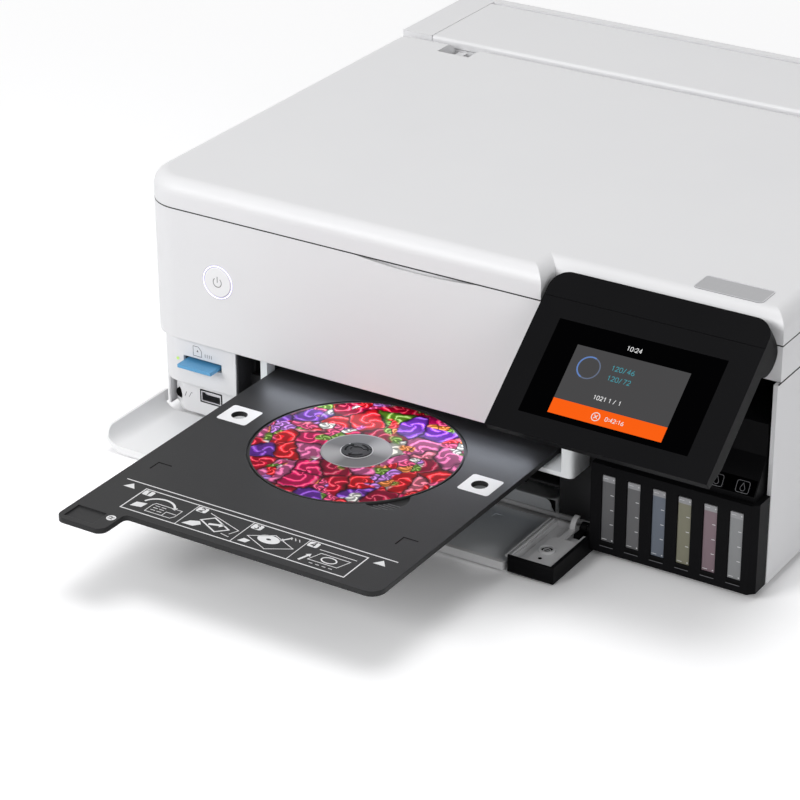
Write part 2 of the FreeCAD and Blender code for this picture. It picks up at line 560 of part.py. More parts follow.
def inner_frame():
    """Dark frame behind the front opening: bay for cassettes below, slot for the disc tray above."""
    left, right = "card_panel_right + slack", f"{PLATE_RIGHT} - slack"
    plate = box("frame_plate", left, "frame_front", f"{FLOOR_TOP}", f"{right} - {left}", "frame_thick",
                f"fascia_bottom - seam - {FLOOR_TOP}")
    bay = box("frame_bay", "bay_left", "frame_front - 1", f"{FLOOR_TOP} - 1", "bay_right - bay_left",
              "frame_thick + 2", f"bay_top - {FLOOR_TOP} + 1")
    slot = box("frame_slot", "slot_left", "frame_front - 1", "slot_bottom", "bay_right - slot_left",
               "frame_thick + 2", "fascia_bottom")
    window = box("frame_window", "window_left", "frame_front - 1", "window_bottom", "window_width",
                 "frame_thick + 2", "window_height")
    cheek = box("frame_cheek", left, "card_panel_front + cheek_back", "card_panel_bottom", "1",
                "frame_front - card_panel_front - cheek_back", "fascia_bottom - seam - card_panel_bottom")
    blank = box("frame_blank", "notch_left + clearance", "frame_front", "fascia_bottom - seam - 1",
                f"{right} - notch_left - clearance", "frame_thick",
                f"{BASE_TOP} - fascia_bottom + seam + 1")
    part("inner_frame", fuse("frame_body", cut("frame_cut", plate, bay, slot, window), cheek, blank))


def disc_guides():
    """White rails each side of the disc tray: a shelf under its edge and a rounded post beside it."""
    height = "fascia_bottom - 2 * seam - shelf_top"
    left_post = box("guide_left_post", "guide_left", "frame_front - guide_reach", "shelf_top",
                    "guide_wall", "8",
                    height)
    left_shelf = box("guide_left_shelf", "guide_left", "frame_front - guide_reach", "shelf_top - shelf_thick",
                     "guide_wall + 4", "8", "shelf_thick")
    part("disc_guide_left", fuse("guide_left_body", left_post, left_shelf))
    shelf = box("guide_right_shelf", "bay_right - shelf_grip", "clearance", "shelf_top - shelf_thick",
                "guide_right + guide_post - bay_right + shelf_grip", "frame_front - clearance", "shelf_thick")
    post = box("guide_right_post", "guide_right", "clearance", "shelf_top", "guide_post",
               "frame_front - clearance", height)
    body = fuse("guide_right_solid", shelf, post)
    body = rounded("guide_right_round", body, "guide_round",
                   every(lambda p: near(p.x, size.guide_right + size.guide_post) and near(p.y,
                                                                                          size.clearance)))
    part("disc_guide_right", body)


def side_plates():
    """Two upright plates that carry the rollers, the platen and the star wheels."""
    plates = []
    for side, x, high in (("left", PLATE_LEFT, "side_plate_high"),
                          ("right", f"{PLATE_RIGHT} - side_plate", "cover_top + 3")):
        low = box(f"plate_{side}_low", x, FRAME_BACK, FLOOR_TOP, "side_plate",
                  f"side_plate_back - {FRAME_BACK}", f"side_plate_low - {FLOOR_TOP}")
        tall = box(f"plate_{side}_tall", x, FRAME_BACK, FLOOR_TOP, "side_plate",
                   f"side_plate_step - {FRAME_BACK}", f"{high} - {FLOOR_TOP}")
        holes = [
            cylinder(f"plate_{side}_feed_hole", "x", f"{x} - 1", "feed_y", FEED_Z,
                     "feed_shaft + running", "side_plate + 2"),
            cylinder(f"plate_{side}_eject_hole", "x", f"{x} - 1", "eject_y", EJECT_Z,
                     "eject_shaft + running", "side_plate + 2"),
        ]
        if side == "right":
            holes.append(cylinder("plate_cover_pin_hole", "x", f"{x} - 1", "cover_depth - cover_axis_in",
                                  "cover_top - cover_axis_in", "cover_pin + running", "side_plate + 2"))
        plates.append(cut(f"plate_{side}", fuse(f"plate_{side}_solid", low, tall), *holes))
    part("side_plates", *plates)


# ---------------------------------------------------------------- ink tank unit

def tank_window_x(index):
    return f"window_first + {index} * window_pitch"


def tank_front_cover():
    """Black front of the ink tank unit: six window openings and a chamfered outer edge."""
    right = "body_width - tank_right_gap"
    outline = [
        ("tank_left", "tank_back"), ("tank_left", "-tank_front"), (f"{right} - tank_chamfer", "-tank_front"),
        (right, "tank_chamfer - tank_front"), (right, "tank_back"),
    ]
    outer = prism("tank_cover_outer", "xy", outline, "tank_bottom", "tank_top - tank_bottom")
    inner = box("tank_cover_inner", "tank_left + tank_wall", "tank_wall - tank_front",
                "tank_bottom + tank_wall", f"{right} - tank_left - 2 * tank_wall",
                "tank_back + tank_front", "tank_top - tank_bottom - 2 * tank_wall")
    openings = [box(f"tank_window_{index}", tank_window_x(index), "-tank_front - 1", "window_low",
                    "window_open", "tank_wall + 2", "window_high - window_low")
                for index in range(int(size.tank_count))]
    boss = cylinder("tank_boss", "x", "right_boss_left", "flap_axis", "flap_axis", "right_boss",
                    "tank_left - right_boss_left + 1")
    hole = cylinder("tank_boss_hole", "x", "right_boss_left - 1", "flap_axis", "flap_axis",
                    "flap_pin + running", "tank_left - right_boss_left + 1")
    shell = cut("tank_front_shell", outer, inner, *openings)
    part("tank_front_cover", fuse("tank_front_body", shell, cut("tank_boss_cut", boss, hole)))


def ink_tanks():
    """Six translucent tanks, each with a nose in its window and a filler neck on top."""
    for index in range(int(size.tank_count)):
        middle = f"({tank_window_x(index)} + window_open / 2)"
        front = "(tank_wall - tank_front + clearance)"
        body = box(f"tank_body_{index}", f"{middle} - tank_body / 2", front,
                   "tank_bottom + tank_wall + slack",
                   "tank_body", "tank_depth", "window_high - tank_bottom - tank_wall - nose_short")
        nose = box(f"tank_nose_{index}", f"{tank_window_x(index)} + slack", f"{front} - tank_nose",
                   "window_low + slack", "window_open - 2 * slack", "tank_nose",
                   "window_high - window_low - nose_short")
        neck = cylinder(f"tank_neck_{index}", "z", middle, "neck_y", "window_high - 1", "neck_radius",
                        "neck_height")
        part(f"ink_tank_{index + 1}", fuse(f"tank_{index}", body, nose, neck))


def tank_caps():
    caps = []
    for index in range(int(size.tank_count)):
        middle = f"({tank_window_x(index)} + window_open / 2)"
        cap = cylinder(f"cap_{index}", "z", middle, "neck_y", "window_high - 1 + neck_height",
                       "cap_radius", "cap_height")
        grip = box(f"cap_grip_{index}", f"{middle} - 1", "neck_y - cap_radius - cap_grip_out",
                   "window_high - 1 + neck_height", "2", "4", "cap_height")
        caps.append(fuse(f"cap_body_{index}", cap, grip))
    part("tank_caps", *caps)


def tank_cover():
    """Sloping cover over the tanks, hinged at its upper back edge."""
    bottom = "(tank_top + clearance)"
    left = "tank_left + slack"
    width = "(body_width - wall - cover_side_gap - tank_left)"
    outer_line = [
        ("0.6", bottom), ("0.6", f"{bottom} + cover_lip"), ("cover_slope_y", "cover_slope_z"),
        ("cover_slope_y", "cover_top"), ("cover_depth", "cover_top"), ("cover_depth", bottom),
    ]
    wall = "cover_wall"
    inner_line = [
        (f"0.6 + {wall}", f"{bottom} - 1"), (f"0.6 + {wall}", f"{bottom} + cover_lip - 0.5"),
        (f"cover_slope_y + {wall}", "cover_slope_z - 1"), (f"cover_slope_y + {wall}", f"cover_top - {wall}"),
        (f"cover_depth - {wall}", f"cover_top - {wall}"), (f"cover_depth - {wall}", f"{bottom} - 1"),
    ]
    outer = prism("ink_cover_outer", "yz", outer_line, left, width)
    inner = prism("ink_cover_inner", "yz", inner_line, f"{left} + {wall}", f"{width} - 2 * {wall}")
    pin_y, pin_z = "cover_depth - cover_axis_in", "cover_top - cover_axis_in"
    pins = cylinder("ink_cover_pin", "x", f"{PLATE_RIGHT} - side_plate", pin_y, pin_z, "cover_pin",
                    f"body_width - wall + 1 - {PLATE_RIGHT} + side_plate")
    part("tank_cover", fuse("ink_cover_body", cut("ink_cover_shell", outer, inner), pins))


# ---------------------------------------------------------------- front flap, shown folded down

def front_flap():
    """White outer shell: a flat panel whose left end curls up where it wraps the casing's corner."""
    back = "port_front - flap_back_gap"
    bottom, top = "flap_bottom", "flap_lip"
    section = [("flap_side_gap", "flap_rise"), ("flap_side_gap", bottom), ("flap_right", bottom),
               ("flap_right", top), ("flap_side_gap + flap_wing", top),
               ("flap_side_gap + flap_wing", "flap_rise")]
    shell = prism("flap_section", "xz", section, "-flap_reach", "flap_reach + flap_wing_back")
    shell = rounded("flap_outer_curve", shell, "flap_rise - flap_bottom - 0.5",
                    every(lambda p: near(p.x, size.flap_side_gap) and near(p.z, size.flap_bottom)))
    shell = rounded("flap_inner_curve", shell, "flap_rise - flap_lip - 0.5",
                    every(lambda p: near(p.x, size.flap_side_gap + size.flap_wing) and near(p.z,
                                                                                            size.flap_lip)))
    well = box("flap_well", "liner_left", "flap_lip_width - flap_reach", "flap_bottom + flap_floor",
               "flap_right", "flap_reach + flap_wing_back", "flap_lip")
    behind_wing = box("flap_behind", "flap_side_gap + flap_wing", back, "-1",
                      "card_panel_right - flap_side_gap - flap_wing", "10", "flap_rise + 2")
    barrel_cut = cut("flap_barrel_cut",
                     box("flap_barrel_block", "card_panel_right", "flap_axis", "-1", "flap_right", "20",
                         "flap_axis + 1"),
                     cylinder("flap_barrel", "x", "card_panel_right - 1", "flap_axis", "flap_axis",
                              "flap_barrel", "flap_right + 1"))
    body = cut("flap_shell", shell, well, behind_wing, barrel_cut)
    tip_y, tip_z = "(flap_tip_round - flap_reach)", "(flap_rise - flap_tip_round)"
    tip = cut("flap_tip", box("flap_tip_block", "flap_side_gap - 1", "-flap_reach - 1", tip_z,
                              "flap_wing + 2", "flap_tip_round + 1", "flap_tip_round + 1"),
              cylinder("flap_tip_round_edge", "x", "flap_side_gap - 2", tip_y, tip_z, "flap_tip_round",
                       "flap_wing + 4"))
    body = cut("flap_trimmed", body, tip)
    eye = cylinder("flap_ear_eye", "x", "flap_lug_x + flap_lug_width + lug_gap", "flap_axis", "flap_axis",
                   "flap_ear", "flap_ear_width")
    web = box("flap_ear_web", "flap_lug_x + flap_lug_width + lug_gap", "flap_axis - flap_ear",
              "flap_bottom + 1", "flap_ear_width", "2 * flap_ear", "flap_axis - flap_bottom - 1")
    pin = cylinder("flap_left_pin", "x", "flap_lug_x", "flap_axis", "flap_axis", "flap_pin",
                   "flap_lug_width + 1")
    part("front_flap", fuse("flap_body", body, eye, web, pin))


def flap_liner():
    """Thin grey tray set in the flap's well."""
    floor = "flap_bottom + flap_floor"
    sheet_plate = box("liner_plate", "liner_left", "flap_lip_width - flap_reach", floor,
                      "flap_right - liner_left", "flap_reach - flap_lip_width + port_front - flap_back_gap",
                      "liner_thick")
    mark = box("liner_mark", "bay_right - liner_mark_in", "0", f"{floor} + liner_thick - 0.4", "5", "4", "1")
    ear_x = "flap_lug_x + flap_lug_width + lug_gap - clearance"
    notch = box("liner_ear_notch", ear_x, "flap_axis - flap_ear - clearance", floor + " - 1",
                "flap_ear_width + 2 * clearance", "20", "4")
    part("flap_liner", cut("liner_body", sheet_plate, mark, notch))


def flap_end_cap():
    """Black box at the flap's right end, with the ear and pin of the right hinge."""
    width = "end_right - end_left"
    block = box("end_block", "end_left", "-flap_reach", "end_bottom", width, "flap_reach + end_back",
                "end_top - end_bottom")
    block = rounded("end_block_edges", block, "2", every(lambda p: near(p.y, -size.flap_reach)))
    well = box("end_well", "end_left + end_wall", "end_wall - flap_reach", "end_bottom + end_floor",
               f"{width} - 2 * end_wall", "flap_reach + end_back", "end_top")
    notch = box("end_ridge_notch", "end_left - 1", "end_wall - flap_reach", "flap_lip",
                "end_wall + 2", "flap_reach + end_back", "end_top")
    eye = cylinder("end_ear_eye", "x", "right_ear_left", "flap_axis", "flap_axis", "flap_ear",
                   "flap_ear_width")
    web = box("end_ear_web", "right_ear_left", "end_back - 4", "end_bottom", "flap_ear_width",
              "flap_axis - end_back + 4", "flap_axis - end_bottom")
    pin = cylinder("end_pin", "x", "right_ear_left + 1", "flap_axis", "flap_axis", "flap_pin",
                   "tank_left - right_ear_left - 2")
    part("flap_end_cap", fuse("end_body", cut("end_shell", block, well, notch), eye, web, pin))


def flap_end_tray():
    """Moulding inside the end cap: two ridges, a rounded pocket and a raised plate with a screw boss."""
    top, floor = "end_tray_top", "(end_tray_top - pocket_depth)"
    left, front = "end_tray_left", "(end_wall - flap_reach + clearance)"
    right, back = "(end_right - end_wall - clearance)", "end_tray_back"
    rim = box("end_tray_rim", left, front, f"{top} - end_tray_thick", f"{right} - {left}",
              f"{back} - {front}",
              "end_tray_thick")
    body = box("end_tray_block", "pocket_left - end_tray_thick", front, f"{floor} - end_tray_thick",
               f"{right} - pocket_left + end_tray_thick", f"{back} - {front}",
               "pocket_depth + end_tray_thick")
    pocket = box("end_pocket", "pocket_left", f"{front} + end_tray_thick", floor,
                 f"{right} - pocket_left - end_tray_thick", f"{back} - {front} - 2 * end_tray_thick",
                 "pocket_depth + 1")
    plate = box("end_plate", "plate_left", f"{front} - 1", f"{floor} - 1", f"{right} - plate_left",
                f"plate_back - ({front}) + 1", "pocket_depth + 3")
    hollow = cut("end_pocket_hollow", pocket, plate)
    ridges = [box(f"end_ridge_{index}", f"{left} + ridge_width + {index} * ridge_pitch", front, top,
                  "ridge_width", f"{back} - {front} - end_wall", "ridge_height")
              for index in range(2)]
    boss_y = "(boss_y - flap_reach)"
    boss = tube("end_boss", "z", "boss_x", boss_y, f"{top} - overlap", "boss_radius",
                "boss_radius - boss_wall",
                "boss_height")
    sink = cylinder("end_boss_sink", "z", "boss_x", boss_y, f"{top} - end_tray_thick",
                    "boss_radius - boss_wall",
                    "end_tray_thick + 1")
    screw = cylinder("end_screw", "z", "boss_x", boss_y, f"{top} - end_tray_thick - overlap",
                     "boss_radius - 1.5 * boss_wall", "end_tray_thick")
    hole = cylinder("end_pin_hole", "z", "boss_x + ridge_width", f"{boss_y} - hole_pitch",
                    f"{top} - end_tray_thick", "boss_wall", "end_tray_thick + 1")
    ear_gap = box("end_tray_ear_gap", "right_ear_left - 2 * clearance", "end_back - flap_ear - 4 * clearance",
                  "end_bottom", "end_right - right_ear_left + 2", "2 * flap_barrel", "end_tray_top + 4")
    feet = [box(f"end_tray_foot_{index}", x, f"{front} + 2 * end_wall", "end_bottom + end_floor", "end_wall",
                "end_wall", f"{floor} - end_bottom - end_floor")
            for index, x in enumerate(("pocket_left", f"{right} - 2 * end_wall"))]
    shape = cut("end_tray_cut", fuse("end_tray_solid", rim, body), hollow, sink, hole, ear_gap)
    part("flap_end_tray", fuse("end_tray_body", shape, *ridges, boss, screw, *feet, stay_strap()))


def stay_strap():
    """Curved strap that rises from the end moulding beside the hinge eye."""
    x = "right_ear_left - strap_width - strap_gap"
    outer, inner = "(flap_ear + strap_lift + strap_thick)", "(flap_ear + strap_lift)"
    ring = tube("strap_ring", "x", x, "flap_axis - 1", "flap_axis + 1", outer, inner, "strap_width")
    window = box("strap_window", f"{x} - 1", f"flap_axis - 1 - {outer} - 1", "end_tray_top - slack",
                 "strap_width + 2", f"{outer} + 1", "12")
    foot = box("strap_foot", x, "plate_back - 1", "end_tray_top - end_tray_thick", "strap_width",
               f"flap_axis - 1 - {inner} - plate_back + 1", "end_tray_thick")
    return fuse("strap_body", common("strap_arc", ring, window), foot)


# ---------------------------------------------------------------- trays and cassettes

def open_tray(name, left, right, front, bottom, top, length, lip="0"):
    """A shallow tray: floor, two sides and a front wall, open at the top and the back."""
    block = box(name + "_block", left, front, bottom, f"{right} - {left}", length, f"{top} - {bottom}")
    well = box(name + "_well", f"{left} + cassette_wall", f"{front} + cassette_wall + {lip}",
               f"{bottom} + cassette_wall", f"{right} - {left} - 2 * cassette_wall",
               f"{length}", f"{top}")
    return block, well


def paper_cassette():
    block, well = open_tray("cassette", "cassette_left", "cassette_right", "cassette_front",
                            "cassette_bottom", "cassette_top", "cassette_length")
    block = rounded("cassette_front_corners", block, "cassette_round",
                    upright((size.cassette_left, size.cassette_front),
                            (size.cassette_right, size.cassette_front)))
    well = rounded("cassette_well_corners", well, "cassette_round - cassette_wall",
                   upright((size.cassette_left + size.cassette_wall,
                            size.cassette_front + size.cassette_wall),
                           (size.cassette_right - size.cassette_wall,
                            size.cassette_front + size.cassette_wall)))
    stops = [box(f"cassette_guide_{index}", x, "cassette_front + paper_guide_in",
                 "cassette_bottom + cassette_wall - overlap",
                 "1.6", "60", "4.5")
             for index, x in enumerate(("cassette_left + 14", "cassette_right - 16"))]
    part("paper_cassette", fuse("cassette_body", cut("cassette_cut", block, well), *stops))


def photo_cassette():
    block, well = open_tray("photo", "photo_left", "photo_right", "photo_front", "photo_bottom",
                            "photo_top", "photo_length")
    grip = cylinder("photo_grip", "z", "(photo_left + photo_right) / 2", "photo_front - grip_out",
                    "photo_bottom + cassette_wall", "18", "20")
    runners = [box(f"photo_runner_{index}", left, "frame_front", "photo_top - runner_height",
                   f"{right} - ({left})",
                   "photo_length", "1.6")
               for index, (left, right) in enumerate((("bay_left + clearance", "photo_left + slack"),
                                                      ("photo_right - slack", "(bay_right - clearance)")))]
    part("photo_cassette", fuse("photo_body", cut("photo_cut", block, well, grip), *runners))


def output_tray():
    """Flat tray that catches prints, with ribs along the way the paper leaves."""
    width = "(bay_right - clearance) - (bay_left + clearance)"
    plate = box("output_plate", "(bay_left + clearance)", "output_front", "output_bottom", width,
                "output_length",
                "output_thick - output_rib")
    plate = rounded("output_corners", plate, "6", upright((size.bay_left + size.clearance, size.output_front),
                                                         (size.bay_right - size.clearance,
                                                          size.output_front)))
    ribs = [box(f"output_rib_{index}", f"(bay_left + clearance) + 12 + {index} * ({width} - 26) / 6",
                "output_front + 8", "output_bottom + output_thick - output_rib - overlap", "2",
                "output_length - 16", "output_rib + overlap")
            for index in range(7)]
    part("output_tray", fuse("output_body", plate, *ribs))


def disc_tray():
    """Thin plate with a finger tab, a round well for the disc and a sensing hole each side."""
    left = "disc_tray_left"
    right = "(disc_tray_left + disc_tray_width)"
    front, tip, back = "-disc_tray_front", "-front_reach", "disc_tray_back"
    outline = [
        (left, tip), (f"{left} + tab_width", tip), (f"{left} + tab_width", front), (right, front),
        (right, back), (left, back),
    ]
    plate = prism("disc_tray_plate", "xy", outline, TRAY_BOTTOM, "disc_tray_thick")
    plate = rounded("disc_tray_tab", plate, "tab_round",
                    upright((size.disc_tray_left, -size.front_reach),
                            (size.disc_tray_left + size.tab_width, -size.front_reach)))
    plate = rounded("disc_tray_throat", plate, "tab_inner_round",
                    upright((size.disc_tray_left + size.tab_width, -size.disc_tray_front)))
    plate = rounded("disc_tray_corners", plate, "tray_round",
                    upright((size.disc_tray_left + size.disc_tray_width, -size.disc_tray_front),
                            (size.disc_tray_left + size.disc_tray_width, size.disc_tray_back),
                            (size.disc_tray_left, size.disc_tray_back)))
    floor = "disc_tray_top - disc_thick - overlap"
    centre_x = f"({left} + disc_x)"
    well = cylinder("disc_well", "z", centre_x, "-disc_y", floor, "disc_radius + disc_gap", "3")
    reach = "disc_radius + disc_gap - finger_in"
    finger = cylinder("disc_finger", "z", f"{centre_x} + ({reach}) * cos(finger_angle * 1deg)",
                      f"-disc_y - ({reach}) * sin(finger_angle * 1deg)",
                      f"{floor} - 0.4", "finger_radius", "4")
    holes = [cylinder(f"disc_tray_hole_{index}", "z", x, "-hole_y", f"{TRAY_BOTTOM} - 1", "hole_radius", "6")
             for index, x in enumerate((f"{left} + hole_inset", f"{right} - hole_inset"))]
    pad = box("disc_tray_pad", f"{left} + pad_inset", f"{tip} + pad_inset", "disc_tray_top - pad_depth",
              "pad_width", "pad_length", "3")
    spigot = cylinder("disc_spigot_hole", "z", centre_x, "-disc_y", f"{TRAY_BOTTOM} - 1",
                      "hub_plug_radius + running", "6")
    part("disc_tray", cut("disc_tray_body", plate, well, finger, *holes, pad, spigot))


def disc():
    """A 120 mm disc lying in the tray's well."""
    centre_x = "(disc_tray_left + disc_x)"
    ring = tube("disc_ring", "z", centre_x, "-disc_y", "disc_tray_top - disc_thick - overlap",
                "disc_radius", "disc_bore", "disc_thick")
    part("disc", ring)


def disc_hub():
    """Round cap that holds the disc's bore, with its neck seated in the tray."""
    centre_x, centre_y = "(disc_tray_left + disc_x)", "-disc_y"
    seat = "(disc_tray_top - disc_thick - overlap)"
    neck = cylinder("hub_neck", "z", centre_x, centre_y, seat, "hub_spigot", "disc_thick + slack")
    plug = cylinder("hub_plug", "z", centre_x, centre_y, TRAY_BOTTOM, "hub_plug_radius",
                    "disc_tray_thick - 1")
    cap = cylinder("hub_cap", "z", centre_x, centre_y, "disc_tray_top", "hub_radius", "hub_height")
    slots = []
    for index in range(3):
        slot = box(f"hub_slot_{index}", "0", "-hub_slot / 2", "disc_tray_top + hub_height / 2",
                   "2 * hub_radius",
                   "hub_slot", "hub_height")
        turned = document.addObject("Part::Compound", f"hub_slot_turned_{index}")
        turned.Links = [slot]
        turned.Placement = FreeCAD.Placement(Vector(), FreeCAD.Rotation(Vector(0, 0, 1), 120 * index + 30))
        place(turned, centre_x, centre_y, "0")
        slots.append(turned)
    dimple = cylinder("hub_dimple", "z", centre_x, centre_y, "disc_tray_top + hub_height / 2",
                      "hub_radius - 4 * hub_slot", "hub_height")
    part("disc_hub", fuse("hub_body", cut("hub_top", cap, *slots, dimple), neck, plug))


# ---------------------------------------------------------------- printing mechanism

def guide_rail():
    """Folded steel rail that the print carriage runs along, from side wall to side wall."""
    front, back, low, high = "rail_y", "rail_y + rail_depth", "rail_bottom", "rail_top"
    section = [
        (front, low), (back, low), (back, f"{low} + sheet"), (f"{front} + sheet", f"{low} + sheet"),
        (f"{front} + sheet", f"{high} - sheet"), (back, f"{high} - sheet"), (back, high), (front, high),
    ]
    part("guide_rail", prism("rail_channel", "yz", section, "wall + clearance",
                             "body_width - 2 * wall - 2 * clearance"))


def print_carriage():
    """Carriage with the print head below and an arm over the rail to the timing belt."""
    depth = "(rail_y - carriage_front - clearance)"
    block = box("carriage_block", "carriage_left", "carriage_front", "carriage_bottom", "carriage_width",
                depth, "carriage_top - carriage_bottom")
    block = rounded("carriage_edges", block, "carriage_round",
                    every(lambda p: near(p.y, size.carriage_front) and near(p.z, size.carriage_top)))
    wells = [box(f"carriage_well_{index}", f"carriage_left + damper_wall + {index} * damper_pitch",
                 "carriage_front + damper_inset", "carriage_top - damper_deep", "damper_pitch - damper_wall",
                 f"{depth} - 2 * damper_inset", "damper_deep + 1")
             for index in range(int(size.tank_count))]
    head = box("print_head", "carriage_left + head_inset", "carriage_front + head_inset",
               "carriage_bottom - head_drop", "carriage_width - 2 * head_inset", "head_depth",
               "head_drop + 1")
    arm_z = "(rail_top + running + clearance)"
    tab_back = "(rail_y + rail_depth + 3 * clearance)"
    middle = "(carriage_left + carriage_width / 2)"
    arm_start = "(rail_y - arm_foot)"
    foot = box("carriage_arm_foot", f"{middle} - arm_width / 2", arm_start, "carriage_top - 1", "arm_width",
               "arm_foot - clearance", f"{arm_z} + arm_thick - carriage_top + 1")
    arm = box("carriage_arm", f"{middle} - arm_width / 2", arm_start, arm_z, "arm_width",
              f"{tab_back} - {arm_start}", "arm_thick")
    tab = box("carriage_tab", f"{middle} - arm_width / 2", f"{tab_back} - arm_tab", "pulley_z", "arm_width",
              "arm_tab", f"{arm_z} + arm_thick - pulley_z")
    part("print_carriage", fuse("carriage_body", cut("carriage_shell", block, *wells), head, foot, arm, tab))


def pulley(name, x, bore):
    """Belt pulley with a bore for its pin and a flange at the bottom."""
    body = cylinder(name + "_drum", "z", x, "pulley_y", "pulley_z", "pulley_radius", "pulley_height")
    hole = cylinder(name + "_bore", "z", x, "pulley_y", "pulley_z - 1", f"{bore} + running",
                    "pulley_height + 2")
    part(name, cut(name + "_body", body, hole))


def carriage_drive():
    """Motor and tensioner on plates inside the rail, with the two pulleys and the belt between them."""
    plate_z = "(pulley_z - clearance - bracket_plate)"
    reach = "(rail_y + sheet + clearance)"
    depth = f"pulley_y + pulley_radius - {reach}"
    motor_plate = box("motor_plate", "pulley_right - motor_radius", reach, plate_z, "2 * motor_radius",
                      depth, "bracket_plate")
    can = cylinder("motor_can", "z", "pulley_right", "pulley_y", f"{plate_z} - motor_height",
                   "motor_radius", "motor_height")
    shaft = cylinder("motor_shaft_pin", "z", "pulley_right", "pulley_y", plate_z, "motor_shaft",
                     "pulley_height + 2 * bracket_plate")
    part("carriage_motor", fuse("motor_body", motor_plate, can, shaft))
    idler_plate = box("tensioner_plate", "pulley_left - motor_radius / 2", reach, plate_z, "motor_radius",
                      depth, "bracket_plate")
    pin = cylinder("tensioner_pin", "z", "pulley_left", "pulley_y", plate_z, "motor_shaft",
                   "pulley_height + 2 * bracket_plate")
    part("belt_tensioner", fuse("tensioner_body", idler_plate, pin))
    pulley("motor_pulley", "pulley_right", "motor_shaft")
    pulley("idler_pulley", "pulley_left", "motor_shaft")
    rings = []
    for name, radius in (("outer", "pulley_radius + belt_gap + belt_thick"),
                         ("inner", "pulley_radius + belt_gap")):
        ends = [cylinder(f"belt_{name}_{side}", "z", x, "pulley_y", "pulley_z + belt_gap", radius,
                         "pulley_height - 2 * belt_gap")
                for side, x in (("left", "pulley_left"), ("right", "pulley_right"))]
        middle = box(f"belt_{name}_middle", "pulley_left", f"pulley_y - ({radius})", "pulley_z + belt_gap",
                     "pulley_right - pulley_left", f"2 * ({radius})", "pulley_height - 2 * belt_gap")
        rings.append(fuse(f"belt_{name}", middle, *ends))
    part("timing_belt", cut("belt_body", *rings))


def roller(name, y, z, radius, shaft):
    """Rubber-covered roller on a steel shaft that runs in both side plates."""
    cover = cylinder(name + "_cover", "x", "feed_left", y, z, radius, "feed_right - feed_left")
    axle = cylinder(name + "_shaft", "x", f"{PLATE_LEFT} - shaft_out", y, z, shaft,
                    f"{PLATE_RIGHT} - {PLATE_LEFT} + 2 * shaft_out")
    part(name, fuse(name + "_body", cover, axle))


def platen():
    """Ribbed bed under the print head, between the side plates."""
    left = f"({PLATE_LEFT} + side_plate + clearance)"
    width = f"({PLATE_RIGHT} - side_plate - clearance - {left})"
    bed = box("platen_bed", left, "platen_front", "platen_top - platen_thick", width, "platen_depth",
              "platen_thick - rib_height")
    ribs = [box(f"platen_rib_{index}",
                f"{left} + rib_width + {index} * ({width} - 3 * rib_width) / (rib_count - 1)",
                "platen_front", "platen_top - rib_height - overlap", "rib_width", "platen_depth",
                "rib_height + overlap")
            for index in range(int(size.rib_count))]
    part("platen", fuse("platen_body", bed, *ribs))


def star_wheels():
    """Bar across the side plates with thin wheels that hold the print against the eject roller."""
    left = f"({PLATE_LEFT} + side_plate + clearance)"
    width = f"({PLATE_RIGHT} - side_plate - clearance - {left})"
    middle_z = "(disc_tray_top + wheel_lift + wheel_radius)"
    bar = box("star_bar", left, "eject_y - wheel_bar", f"{middle_z} + 1", width, "2 * wheel_bar",
              "wheel_radius - 0.6")
    wheels = [cylinder(f"star_wheel_{index}", "x",
                       f"{left} + wheel_end + {index} * ({width} - 2 * wheel_end) / (wheel_count - 1)",
                       "eject_y", middle_z, "wheel_radius", "wheel_thick")
              for index in range(int(size.wheel_count))]
    part("star_wheels", fuse("star_body", bar, *wheels))


